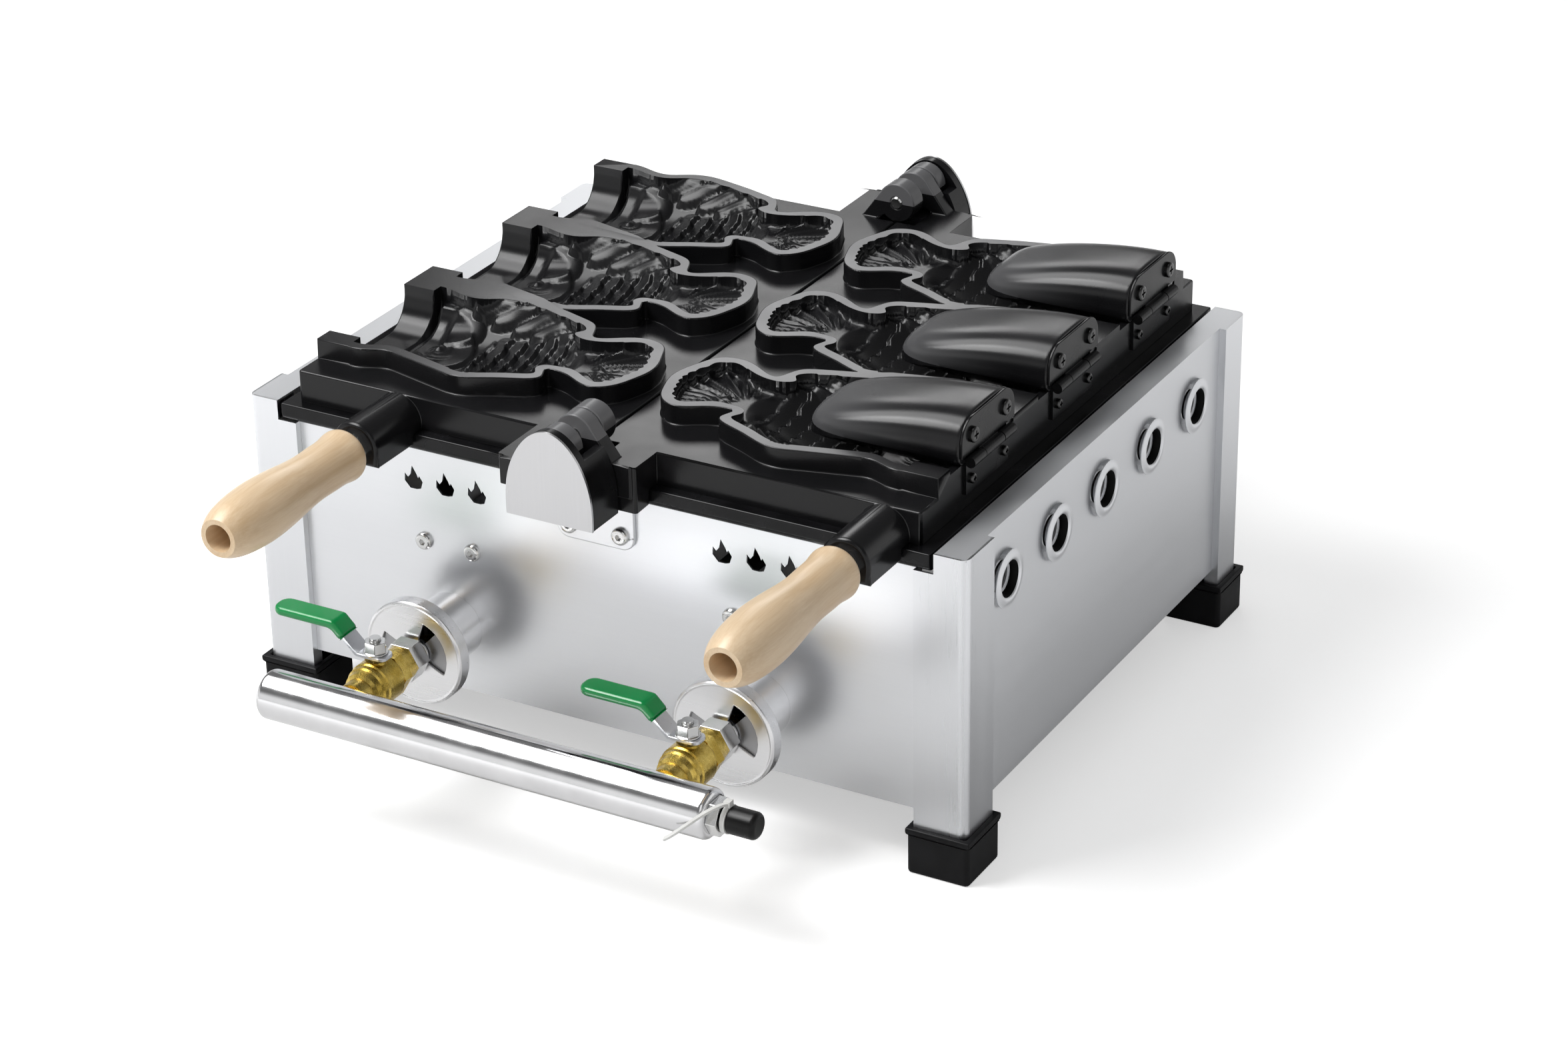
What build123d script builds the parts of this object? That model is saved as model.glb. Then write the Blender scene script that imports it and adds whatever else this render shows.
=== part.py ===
from build123d import *
import math
import os

# ---------------------------------------------------------------------------
# Gas taiyaki maker: a sheet-steel stand with two burners, two non-stick
# castings hinged on one centre line, and three hinged mouth cores.
# Millimetres. X across, Y front to back, Z up. While it is built, x = 0 is the
# hinge line, y = 0 the front face of the posts and z = 0 the table; each part
# is moved at the end so that the origin is under the middle of its box.
# ---------------------------------------------------------------------------

# stand
BODY_W = 467.0           # over the posts
BODY_D = 371.0           # over the posts
POST_TOP = 200.0         # top of posts and side flanges
SHEET = 1.2              # stainless sheet
POST_FACE = 32.3         # front leg of a post's angle
POST_SIDE_F = 33.0       # side leg, front posts
POST_SIDE_R = 29.0       # side leg, rear posts
POST_BEND = 5.0
POST_LIP = 8.5
PANEL_SET = 4.5          # panels lie this far behind the posts' faces
PANEL_Z0 = 37.5
FLANGE_W = 20.0          # side panel's top flange, from the post's side face
FLANGE_LIP = 5.0
RETURN_W = 12.0          # folded returns of the panels
SEAM = 0.05              # between sheets that butt
FOOT_H = 28.5
FOOT_FLOOR = 6.0
FOOT_WALL = 3.0
FOOT_LIP = 0.7           # flare at the cap's mouth

# side vents
VENT_N = 5
VENT_PITCH = 62.6
VENT_Z = 164.9
VENT_R = 9.25
VENT_RING_R = 16.5
VENT_DEEP = 3.0

# heat shields behind the vents
SHIELD_X = 216.0
SHIELD_Z0 = 62.0
SHIELD_Z1 = 186.0

# base frame that carries the castings
FRAME_H = 11.0
FRAME_DROP = 1.0         # its top lies this far under the flanges
FRAME_SIDE_GAP = 2.5     # to the side flanges
FRAME_RAIL = 20.0
FRAME_ROUND = 4.5

# castings
HALF_W = 202.4           # outer face of each half
HALF_GAP = 0.6           # each half's inner face from the hinge line
CAST_INSET = 7.5         # castings' front and back faces from the posts' faces
DECK_Z = 218.5
DECK_T = 5.0
SKIRT_T = 5.0
HINGE_Z = 230.5          # hinge axis, at the parting plane
RIM_GAP = 0.15           # each rim stays this far from the parting plane
RIM_W = 6.5
REST_GAP = 0.05
FISH_PITCH = 108.0
FISH_OFF = 5.15          # fish row's centre behind the stand's centre
FISH_SHALLOW = 9.0       # depth of tail and fins
FISH_DEEP = 26.0         # depth of the body
BODY_LEN = 75.0          # half length of the body's hollow
BODY_HALF = 45.0         # half width of the body's hollow
BODY_U = 130.0           # its centre from the hinge line
BODY_W0 = -2.0           # and from the fish's centre
MOUTH_HALF = 38.5
MOUTH_DEEP = 26.0
MOUTH_R = 22.0
MOUTH_W = -3.0           # mouth's centre from the fish's centre
MOUTH_U = 181.0          # where the mouth's tunnel starts
COLLAR_W = 6.0           # groove behind the mouth
LAND_U = 112.0           # webs between the pods start here
SCALE_U = 84.0           # first row of scales
SCALE_STEP = 11.0
SCALE_COLS = 6
SCALE_R = 9.0
SCALE_RISE = 1.1
TAIL_RAYS = 6
FIN_RIBS = 4
EYE_U = 158.0
EYE_W = 6.0

# handles
HANDLE_X_L = -133.0
HANDLE_X_R = 180.0
HANDLE_Z = 203.5
BOSS_W = 30.0
BOSS_REACH = 38.0        # boss end in front of the posts' faces
BOSS_Z0 = 193.0
STUD_R = 5.0
HANDLE_NUT_T = 7.0
HANDLE_LEN = 121.0
HANDLE_BORE_R = 8.2
HANDLE_SEAT = 34.0       # wood left between the wide bore and the nut

# centre hinges
KNUCKLE_R = 12.5
HINGE_PIN_R = 4.0
RUN = 0.06               # radial running clearance
ARM_IN = 13.4            # arms start this far from the hinge line
ARM_OUT_L = 39.5
ARM_OUT_R = 38.0
ARM_Z0 = 202.0
ARM_Z0_R = 190.3
COVER_HALF = 27.7
COVER_Z0 = 189.6
COVER_TOP = 244.0
COVER_REACH = 44.5       # cover's outer face in front of the posts
COVER_T = 1.5
# knuckles in front of the posts' faces: (outer, inner)
KN_F = [(36.5, 26.0), (16.0, 5.5), (4.5, -8.5)]
KN_R = [(36.5, 26.5), (25.0, 15.0), (5.5, -7.0)]
BRACKET_T = 3.0
BRACKET_HALF = 25.3
BRACKET_Z0 = 156.0
BRACKET_SCREW_X = 16.8
BRACKET_SCREW_Z = 164.8

# cores
CORE_END = 0.75          # core's end face outside the casting's outer face
CORE_HALF = 33.0
CORE_UP = 24.2
CORE_DOWN = 17.5
SILL_TOP = 226.5
CORE_AXIS_OUT = 4.0      # core hinge axis outside the casting's outer face
CORE_AXIS_Z = 228.0
BARREL_R = 3.2
BARREL_PIN_R = 1.5
BARREL_GAP = 0.5
LEAF_T = 1.6
LEAF_W = 51.0
LEAF_SCREW_DY = 19.5
LEAF_UP_Z = 242.5
LEAF_LOW_Z = 216.1
LEAF_LOW_Z0 = 208.0

# gas train
BURNER_X = 102.0
GAS_Z = 79.0
MANIFOLD_Y = -113.0
MANIFOLD_R = 14.5
MANIFOLD_X0 = -148.7
MANIFOLD_X1 = 141.0
TUBE_WALL = 2.0
VALVE_Y = -73.0
VALVE_BODY_R = 14.0
VALVE_END_Y = -50.0
VALVE_PORT_R = 5.5
BALL_R = 8.0
STEM_R = 3.2
TOWER_R = 6.6
TOWER_TOP = 93.5
LEVER_W = 12.0
LEVER_T = 2.2
LEVER_Z = 95.0
LEVER_RISE = 15.5
LEVER_LEN = 66.0
GRIP_W = 15.0
GRIP_T = 5.4
DISC_R = 32.5
DISC_FACE_Y = -36.5
DISC_T = 1.8
DISC_RIM = 8.5
SPUD_R = 6.0
WINDOW_R0 = 9.5
WINDOW_R1 = 22.0
WINDOW_DEG = 96.0
WINDOW_A0 = -26.0
WINDOW_OPEN = 24.0
BELL_R = 20.0
BELL_WALL = 1.2
MIXER_R = 13.0
MIXER_WALL = 2.5
HEAD_Z = 149.0
HEAD_R = 13.0
HEAD_DX = 38.0
HEAD_Y0 = 62.0
HEAD_Y1 = 311.0
RISER_Y = 110.0
PORT_N = 12
PORT_W = 1.8
SCREW_DX = 16.5
SCREW_Z = 129.4
SCREW_R = 3.0
SCREW_HEAD_R = 5.3
FLAME_Z = 161.6
FLAME_H = 14.5
FLAME_DX = 21.6
BARB_R = 5.5
BARB_LEN = 17.0
FIT_AF = 19.0
FIT_T = 6.5
CAP_R = 7.8
CAP_FLOOR = 4.0

# derived planes
X = BODY_W / 2
PANEL_Y = PANEL_SET
PANEL_X = X - PANEL_SET
POST_IN = X - POST_FACE
FRAME_TOP = POST_TOP - FRAME_DROP
FRAME_Z0 = FRAME_TOP - FRAME_H
FRAME_X = X - FLANGE_W - FRAME_SIDE_GAP
CAST_Y0 = CAST_INSET
CAST_Y1 = BODY_D - CAST_INSET
CAST_Z0 = FRAME_TOP + REST_GAP
RIM_Z = HINGE_Z - RIM_GAP
FISH_Y = [BODY_D / 2 + FISH_OFF + k * FISH_PITCH for k in (-1, 0, 1)]
HANDLE_IN = -BOSS_REACH - HANDLE_NUT_T
HANDLE_OUT = HANDLE_IN - HANDLE_LEN
COVER_Y = -COVER_REACH
Y_MID = (HANDLE_OUT + BODY_D + COVER_REACH) / 2
CORE_X = HALF_W + CORE_END
CORE_AX = HALF_W + CORE_AXIS_OUT


# --------------------------------------------------------------- helpers
def box(x0, x1, y0, y1, z0, z1):
    return Pos((x0 + x1) / 2, (y0 + y1) / 2, (z0 + z1) / 2) * Box(x1 - x0, y1 - y0, z1 - z0)


def cyl_x(y, z, r, x0, x1):
    return Pos((x0 + x1) / 2, y, z) * Rot(0, 90, 0) * Cylinder(r, x1 - x0)


def cyl_y(x, z, r, y0, y1):
    return Pos(x, (y0 + y1) / 2, z) * Rot(90, 0, 0) * Cylinder(r, y1 - y0)


def cyl_z(x, y, r, z0, z1):
    return Pos(x, y, (z0 + z1) / 2) * Cylinder(r, z1 - z0)


def hex_y(x, z, af, y0, y1):
    flat = Plane(origin=(x, y0, z), x_dir=(1, 0, 0), z_dir=(0, 1, 0))
    return extrude(flat * RegularPolygon(af / 2, 6, major_radius=False), y1 - y0)


def hex_x(y, z, af, x0, x1):
    flat = Plane(origin=(x0, y, z), x_dir=(0, 1, 0), z_dir=(1, 0, 0))
    return extrude(flat * RegularPolygon(af / 2, 6, major_radius=False), x1 - x0)


def hex_z(x, y, af, z0, z1):
    return extrude(Plane(origin=(x, y, z0)) * RegularPolygon(af / 2, 6, major_radius=False), z1 - z0)


def prism_y(pts, y0, y1):
    """A polygon of (x, z) points, extruded along Y."""
    face = make_face(Polyline(*[(x, y0, z) for x, z in pts], close=True))
    return extrude(face, y1 - y0, dir=(0, 1, 0))


def prism_x(pts, x0, x1):
    """A polygon of (y, z) points, extruded along X."""
    face = make_face(Polyline(*[(x0, y, z) for y, z in pts], close=True))
    return extrude(face, x1 - x0, dir=(1, 0, 0))


def turned_y(pts, x, z):
    """(y, r) points turned about the line along Y through (x, z)."""
    face = make_face(Polyline(*[(x + r, y, z) for y, r in pts], close=True))
    return revolve(face, Axis((x, 0, z), (0, 1, 0)))


def flip_x(part):
    return mirror(part, Plane.YZ)


def flip_y(part):
    """The same piece at the back of the stand."""
    return mirror(part, Plane(origin=(0, BODY_D / 2, 0), z_dir=(0, 1, 0)))


def both(part):
    return [part, flip_x(part)]


parts = {}


def keep(name, *shapes):
    """Store a node: one solid, or identical loose solids as a group."""
    solids = [s for shape in shapes for s in shape.solids()]
    moved = [Pos(0, -Y_MID, 0) * s for s in solids]
    parts[name] = moved[0] if len(moved) == 1 else Compound(children=moved)


# --------------------------------------------------------------- stand
def post(side_d):
    """Front right post: a bent angle with a lip along each free edge."""
    outer = Pos(X - POST_FACE / 2, side_d / 2) * Rectangle(POST_FACE, side_d)
    corner = outer.vertices().sort_by(lambda v: v.X - v.Y)[-1]
    outer = fillet(corner, POST_BEND)
    inner = offset(outer, -SHEET)
    open_side = Pos(X - POST_LIP - BODY_W / 2, POST_LIP + BODY_D / 2) * Rectangle(BODY_W, BODY_D)
    angle = outer - inner - open_side
    angle = Pos(0, 0, FOOT_FLOOR + SEAM) * extrude(angle, POST_TOP - FOOT_FLOOR - SEAM)
    notch = box(POST_IN - 1, X - FLANGE_W - SEAM, -1, side_d + 1, FRAME_Z0 - SEAM, POST_TOP + 1)
    under = box(POST_IN - 1, X - SHEET, SHEET, side_d + 1, POST_TOP - SHEET - SEAM, POST_TOP + 1)
    return angle - notch - under


front_post = post(POST_SIDE_F)
rear_post = flip_y(post(POST_SIDE_R))
keep("front_posts", *both(front_post))
keep("rear_posts", *both(rear_post))


def foot_cap(side_d):
    """Rubber socket round a post's foot, slightly flared at its mouth."""
    x0, x1, y0, y1 = POST_IN - FOOT_WALL, X + FOOT_WALL, -FOOT_WALL, side_d + FOOT_WALL
    cap = box(x0, x1, y0, y1, 0, FOOT_H)
    cap = fillet(cap.edges().filter_by(Axis.Z), 3)
    lip = box(x0 - FOOT_LIP, x1 + FOOT_LIP, y0 - FOOT_LIP, y1 + FOOT_LIP, FOOT_H - 4, FOOT_H)
    lip = chamfer(lip.faces().sort_by(Axis.Z)[0].edges(), 0.6)
    cap = chamfer(cap.faces().sort_by(Axis.Z)[0].edges(), 1)
    socket = box(POST_IN - SEAM, X + SEAM, -SEAM, side_d + SEAM, FOOT_FLOOR, FOOT_H + 1)
    return cap + lip - socket


foot_f, foot_r = foot_cap(POST_SIDE_F), flip_y(foot_cap(POST_SIDE_R))
keep("foot_caps", *both(foot_f), *both(foot_r))


def vent_former():
    """Dimple pressed inward round a vent hole, turned about +X at the origin."""
    a, b, t, d = VENT_RING_R, VENT_R, SHEET, VENT_DEEP
    face = make_face(Polyline((0, a + 1), (0, a), (-d, b + 3), (-d, b), (-d - t, b), (-d - t, b + 3.4),
                              (-t, a + 0.4), (-t, a + 1), close=True))
    return revolve(face, Axis.X)


def side_panel():
    y0, y1 = POST_SIDE_F + SEAM, BODY_D - POST_SIDE_R - SEAM
    xo = PANEL_X
    xi = X - FLANGE_W
    wall = box(xo - SHEET, xo, y0, y1, PANEL_Z0, POST_TOP)
    flange = box(xi, xo, SHEET + SEAM, BODY_D - SHEET - SEAM, POST_TOP - SHEET, POST_TOP)
    ears = [box(xi, X - SHEET - SEAM, a, b, POST_TOP - SHEET, POST_TOP)
            for a, b in ((SHEET + SEAM, y0), (y1, BODY_D - SHEET - SEAM))]
    lip = box(xi, xi + SHEET, y0 + 2, y1 - 2, POST_TOP - FLANGE_LIP, POST_TOP)
    sole = box(xo - RETURN_W, xo, y0, y1, PANEL_Z0, PANEL_Z0 + SHEET)
    panel = wall + flange + ears[0] + ears[1] + lip + sole
    row = (VENT_N - 1) * VENT_PITCH
    for i in range(VENT_N):
        y = (BODY_D - row) / 2 - 5.7 + i * VENT_PITCH
        panel = panel - cyl_x(y, VENT_Z, VENT_RING_R + 0.5, xo - SHEET - 1, xo + 1)
        panel = panel + Pos(xo, y, VENT_Z) * vent_former()
    return panel


right_side = side_panel()
keep("side_panel_right", right_side)
keep("side_panel_left", flip_x(right_side))


def flame(cx):
    """Flame-shaped peep hole over a burner."""
    w, h = 6.3, FLAME_H
    left = [(-0.4, 0), (-0.98, 0.28), (-0.93, 0.62), (-0.6, 0.46), (-0.3, 0.62), (-0.12, 1.0)]
    right = [(0.35, 0.66), (0.5, 0.5), (0.62, 0.6), (0.98, 0.36), (0.75, 0.06), (0.3, 0)]
    return prism_y([(cx + a * w, FLAME_Z + b * h) for a, b in left + right], -1, PANEL_Y + SHEET + 1)


def end_panel():
    """Folded sheet between two posts, before its holes are cut."""
    xo = POST_IN - SEAM
    y0 = PANEL_Y
    wall = box(-xo, xo, y0, y0 + SHEET, PANEL_Z0, FRAME_Z0 - SEAM)
    top = box(-xo, xo, y0, y0 + RETURN_W, FRAME_Z0 - SHEET - SEAM, FRAME_Z0 - SEAM)
    sole = box(-xo, xo, y0, y0 + RETURN_W, PANEL_Z0, PANEL_Z0 + SHEET)
    panel = wall + top + sole
    for sx in (-1, 1):
        for dx in (-1, 1):
            panel = panel - cyl_y(sx * BURNER_X + dx * SCREW_DX, SCREW_Z, SCREW_R + SEAM, y0 - 1, y0 + 3)
        panel = panel - cyl_y(sx * BRACKET_SCREW_X, BRACKET_SCREW_Z, SCREW_R + SEAM, y0 - 1, y0 + 3)
    return panel


front = end_panel()
for sx in (-1, 1):
    front = front - cyl_y(sx * BURNER_X, GAS_Z, MIXER_R + 1, PANEL_Y - 1, PANEL_Y + 3)
    for k in (-1, 0, 1):
        front = front - flame(sx * BURNER_X + k * FLAME_DX)
keep("front_panel", front)
keep("rear_panel", flip_y(end_panel()))

shield = box(SHIELD_X, SHIELD_X + SHEET, SHEET + SEAM, BODY_D - SHEET - SEAM, SHIELD_Z0, SHIELD_Z1)
keep("heat_shields", *both(shield))

frame = box(-FRAME_X, FRAME_X, 0, BODY_D, FRAME_Z0, FRAME_TOP)
low = [e for e in frame.edges().filter_by(Axis.X) if e.center().Z < FRAME_Z0 + 1]
frame = fillet(low, FRAME_ROUND)
frame = frame - box(-FRAME_X + FRAME_RAIL, FRAME_X - FRAME_RAIL, FRAME_RAIL - 2, BODY_D - FRAME_RAIL + 2,
                    FRAME_Z0 - 1, FRAME_TOP + 1)
slot = box(-ARM_IN, ARM_IN, -1, PANEL_Y + SEAM, FRAME_Z0 - 1, FRAME_TOP + 1)
keep("base_frame", frame - slot - flip_y(slot))


# --------------------------------------------------------------- centre hinges
def cover_face(grow, y):
    """Rounded shield outline, hanging from the hinge axis."""
    w, z0, z1 = COVER_HALF - grow, COVER_Z0, COVER_TOP - grow
    h = z1 - z0
    side = [(1.0, 0.22), (0.94, 0.45), (0.79, 0.66), (0.56, 0.84), (0.3, 0.955)]
    pts = [(w * a, z0 + h * b) for a, b in side]
    curve = Spline(*[(a, y, b) for a, b in [(w, z0)] + pts + [(0, z1)] + [(-a, b) for a, b in pts[::-1]]
                     + [(-w, z0)]])
    return make_face([curve, Line((-w, y, z0), (w, y, z0))])


def hinge_cover():
    return extrude(cover_face(0, COVER_Y), COVER_T, dir=(0, 1, 0))


def hinge_block(kn, to_y):
    """Fixed block: a plate that holds the pin, a step beside the first knuckle
    and a foot that runs back under the knuckles to the bracket."""
    y0 = COVER_Y + COVER_T + SEAM
    y1 = -kn[0][0] - 0.7
    plate = extrude(cover_face(0.4, y0), y1 - y0, dir=(0, 1, 0))
    step = extrude(cover_face(0.4, y1), -kn[1][0] - 0.7 - y1, dir=(0, 1, 0))
    step = step - box(-COVER_HALF - 1, -ARM_IN + 1, y1 - 1, 20, 0, COVER_TOP + 1)
    foot_z1 = HINGE_Z - KNUCKLE_R - 0.7
    step = step - box(-COVER_HALF - 1, COVER_HALF + 1, y1, 20, HINGE_Z - 2, COVER_TOP + 1)
    step = step - box(-COVER_HALF - 1, 0, y1, 20, foot_z1, COVER_TOP + 1)
    step = step - cyl_y(0, HINGE_Z, KNUCKLE_R + 2.0, y1, 30)
    foot = box(-ARM_IN + 1, ARM_IN - 1, y1 - 1, to_y, COVER_Z0, foot_z1)
    return plate + step + foot - cyl_y(0, HINGE_Z, HINGE_PIN_R, COVER_Y, 0)


def hinge_bracket():
    """Plate screwed to the panel, with a tongue that rises behind the block."""
    y0, y1 = PANEL_Y - BRACKET_T, PANEL_Y - SEAM
    plate = box(-BRACKET_HALF, BRACKET_HALF, y0, y1, BRACKET_Z0, FRAME_Z0 - SEAM)
    low = [e for e in plate.edges().filter_by(Axis.Y) if e.center().Z < BRACKET_Z0 + 1]
    plate = fillet(low, 8)
    tongue = box(-ARM_IN + 1, ARM_IN - 1, y0, y1, BRACKET_Z0 + 20, HINGE_Z - KNUCKLE_R - 6)
    plate = plate + tongue
    for sx in (-1, 1):
        plate = plate - cyl_y(sx * BRACKET_SCREW_X, BRACKET_SCREW_Z, SCREW_R + SEAM, y0 - 1, y1 + 1)
    return plate


def hinge_pin(kn):
    pin = cyl_y(0, HINGE_Z, HINGE_PIN_R, COVER_Y + COVER_T + SEAM, -kn[2][1] + 0.6)
    return chamfer(pin.faces().sort_by(Axis.Y)[-1].edges(), 0.8)


block_y = PANEL_Y - BRACKET_T - SEAM
keep("hinge_cover_front", hinge_cover())
keep("hinge_cover_rear", flip_y(hinge_cover()))
keep("hinge_block_front", hinge_block(KN_F, block_y))
keep("hinge_block_rear", flip_y(hinge_block(KN_R, block_y)))
keep("hinge_brackets", hinge_bracket(), flip_y(hinge_bracket()))
keep("hinge_pins", hinge_pin(KN_F), flip_y(hinge_pin(KN_R)))


# --------------------------------------------------------------- castings
# Fish outline in the parting plane, as (u from the hinge line, w from the
# fish's centre): from the mouth along the back to the tail, home by the belly.
FISH = [(MOUTH_U, -48.5), (170, -47.5), (158, -43.5), (147, -45), (131, -49), (116, -52.8), (103, -55.0),
        (94, -52.5), (84, -47.5), (72, -42.5), (64.5, -37), (67.5, -31), (66, -26.5), (58, -24), (49, -23.5),
        (38, -28.5), (27, -32.5), (20.5, -27.5), (16, -17), (13, -5), (14.5, 6), (18, 15), (22.5, 24), (29, 26.5),
        (45, 20.5), (60, 15.5), (68, 16.5), (73, 21), (70, 26.5), (73, 31.5), (82, 35.5), (96, 40), (112, 44),
        (126, 46.5), (138, 43.5), (149, 38), (160, 37.5), (170, 40.5), (MOUTH_U, 42.5)]


def swell(pts, d):
    """Points d outside an open outline; in its nooks they are left out."""
    out = []
    for i in range(1, len(pts) - 1):
        (ax, ay), (bx, by) = pts[i - 1], pts[i + 1]
        ln = math.hypot(bx - ax, by - ay)
        q = (pts[i][0] + (by - ay) / ln * -d, pts[i][1] - (bx - ax) / ln * -d)
        near = min(math.dist(q, p) for p in pts)
        if near > 0.93 * d and (not out or math.dist(q, out[-1]) > 5):
            out.append(q)
    first, last = (pts[0][0], pts[0][1] - d), (pts[-1][0], pts[-1][1] + d)
    return [first] + out + [last]


def outline(pts):
    curve = Spline(*pts)
    return make_face([curve, Line(pts[-1], pts[0])])


fish = outline(FISH)
rim_face = outline(swell(FISH, RIM_W))


def pods():
    """Lump that carries one cavity, out to the casting's outer face."""
    z0 = CAST_Z0 + 1.5
    lump = Pos(0, 0, z0) * extrude(rim_face, RIM_Z - z0)
    w0, w1 = FISH[0][1] - RIM_W, FISH[-1][1] + RIM_W
    return lump & box(HALF_GAP, HALF_W, -70, 70, 0, RIM_Z + 1), box(MOUTH_U - 0.5, HALF_W, w0, w1, z0, RIM_Z)


def land(y):
    """Web that joins a pod to the next one."""
    return box(LAND_U, HALF_W, y + MOUTH_W + MOUTH_HALF, y + FISH_PITCH + MOUTH_W - MOUTH_HALF,
               DECK_Z - DECK_T, RIM_Z)


def tunnel(half, depth, u0, u1):
    """Half a rounded tunnel, depth deep below the parting plane."""
    section = Plane(origin=(u0, MOUTH_W, HINGE_Z), x_dir=(0, 1, 0), z_dir=(1, 0, 0))
    return extrude(section * RectangleRounded(2 * half, 2 * depth, MOUTH_R), u1 - u0)


def belly(u, w):
    """Depth of the body's hollow at a place in the outline."""
    q = 1 - ((u - BODY_U) / BODY_LEN) ** 2 - ((w - BODY_W0) / BODY_HALF) ** 2
    return FISH_DEEP * math.sqrt(max(q, 0))


def scales():
    """Rows of round scales that bulge out of the body's hollow."""
    out = []
    for i in range(SCALE_COLS):
        for k in range(-3, 4):
            u = SCALE_U + i * SCALE_STEP
            w = BODY_W0 + (k + 0.5 * (i % 2)) * SCALE_STEP
            if abs(w - BODY_W0) < 28 and belly(u, w) > FISH_SHALLOW + 4:
                out.append(Pos(u, w, HINGE_Z - belly(u, w) - SCALE_RISE + SCALE_R) * Sphere(SCALE_R))
    return out


def cavity():
    """Half a fish: a shallow outline with a deep body and a round mouth."""
    shallow = Pos(0, 0, HINGE_Z - FISH_SHALLOW) * extrude(fish, FISH_SHALLOW + 1)
    body = Pos(BODY_U, BODY_W0, HINGE_Z) * scale(Sphere(1), by=(BODY_LEN, BODY_HALF, FISH_DEEP))
    body = body + scales()
    throat = tunnel(MOUTH_HALF - 0.5, FISH_DEEP - 0.5, BODY_U + 28, MOUTH_U - COLLAR_W)
    collar = tunnel(MOUTH_HALF + 7, MOUTH_DEEP + 1.2, MOUTH_U - COLLAR_W - 0.5, MOUTH_U)
    low = (body + throat + collar) & (Pos(0, 0, HINGE_Z - FISH_DEEP - 3) * extrude(fish, FISH_DEEP + 4))
    return shallow + low + tunnel(MOUTH_HALF, MOUTH_DEEP, MOUTH_U - 0.5, HALF_W + 3)


def rib(u0, w0, u1, w1, r, z):
    """Long rounded rib lying on a hollow's floor."""
    length = math.dist((u0, w0), (u1, w1))
    turn = math.degrees(math.atan2(w1 - w0, u1 - u0))
    return Pos((u0 + u1) / 2, (w0 + w1) / 2, z) * Rot(0, 0, turn) * scale(Sphere(1), by=(length / 2, r, r))


def relief():
    """Rays of the tail, ribs of the breast fin, gill arch and eye."""
    z = HINGE_Z - FISH_SHALLOW
    bits = []
    for k in range(TAIL_RAYS):
        a = math.radians(148 + k * 84 / (TAIL_RAYS - 1))
        root = (60 + 6 * math.cos(a), -5 + 7 * math.sin(a))
        tip = (56 + 40 * math.cos(a), -6 + 29 * math.sin(a))
        bits.append(rib(*root, *tip, 2.3, z - 0.6))
    for k in range(FIN_RIBS):
        bits.append(rib(142 - 12 * k, 31 + 0.5 * k, 124 - 13 * k, 45.5 - 2.2 * k, 2.4, z - 1 + 0.2 * k))
    eye = (EYE_U, EYE_W, HINGE_Z - belly(EYE_U, EYE_W))
    bits.append(Pos(*eye) * scale(Sphere(1), by=(4.2, 4.2, 1.6)))
    bits.append(Pos(*eye) * Rot(0, -8, 0) * Torus(8.5, 1.1))
    return bits


def half_base():
    """Everything the two halves share, on the +X side."""
    deck = box(HALF_GAP, HALF_W, CAST_Y0, CAST_Y1, CAST_Z0, DECK_Z)
    deck = fillet(deck.edges().filter_by(Axis.Z), 2)
    deck = fillet(deck.faces().sort_by(Axis.Z)[-1].edges(), 1.2)
    deck = deck - box(HALF_GAP + SKIRT_T, HALF_W - SKIRT_T, CAST_Y0 + SKIRT_T, CAST_Y1 - SKIRT_T,
                      CAST_Z0 - 1, DECK_Z - DECK_T)
    lumps, hollow, bits = pods(), cavity(), relief()
    deck = deck + [Pos(0, y, 0) * lump for y in FISH_Y for lump in lumps] + [land(y) for y in FISH_Y[:2]]
    deck = deck - [Pos(0, y, 0) * hollow for y in FISH_Y]
    return deck + [Pos(0, y, 0) * bit for y in FISH_Y for bit in bits]


def boss(x):
    """Rounded boss that takes a handle's stud, under the deck's front edge."""
    r = BOSS_W / 2
    prof = make_face([
        Polyline((x - r, 0, DECK_Z - r), (x - r, 0, BOSS_Z0), (x + r, 0, BOSS_Z0), (x + r, 0, DECK_Z - r)),
        ThreePointArc((x + r, 0, DECK_Z - r), (x, 0, DECK_Z), (x - r, 0, DECK_Z - r))])
    lump = Pos(0, CAST_Y0 + SKIRT_T, 0) * extrude(prof, BOSS_REACH + CAST_Y0 + SKIRT_T, dir=(0, -1, 0))
    lump = fillet(lump.faces().sort_by(Axis.Y)[0].edges(), 2.5)
    return lump - box(x - r - 1, x + r + 1, -FRAME_DROP, CAST_Y0 + SKIRT_T + 1, 0, CAST_Z0)


def stud_hole(x):
    return cyl_y(x, HANDLE_Z, STUD_R + SEAM, -BOSS_REACH - 1, -FRAME_DROP)


def knuckle_web(y0, y1, out, z0):
    """Knuckle on the hinge axis with its neck down to the arm, on the -X side."""
    r = KNUCKLE_R
    ring = cyl_y(0, HINGE_Z, r, y0, y1)
    neck = prism_y([(-out + 3, DECK_Z - 0.5), (-out + 9, DECK_Z), (-24, DECK_Z), (-r * 0.86, HINGE_Z + r * 0.5),
                    (0, HINGE_Z), (-r * 0.71, HINGE_Z - r * 0.71), (-ARM_IN, DECK_Z - 0.5),
                    (-ARM_IN, z0), (-out + 3, z0)], y0, y1)
    return ring + neck


def arm(y0, out, z0):
    """Forward reach of the deck that carries the knuckles, on the -X side."""
    a = box(-out, -ARM_IN, y0, CAST_Y0 + SKIRT_T, z0, DECK_Z)
    a = fillet(a.edges().filter_by(Axis.Z).sort_by(Axis.Y)[:2], 2)
    return a - box(-out - 1, 0, -FRAME_DROP, CAST_Y0 + SKIRT_T + 1, 0, CAST_Z0)


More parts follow.
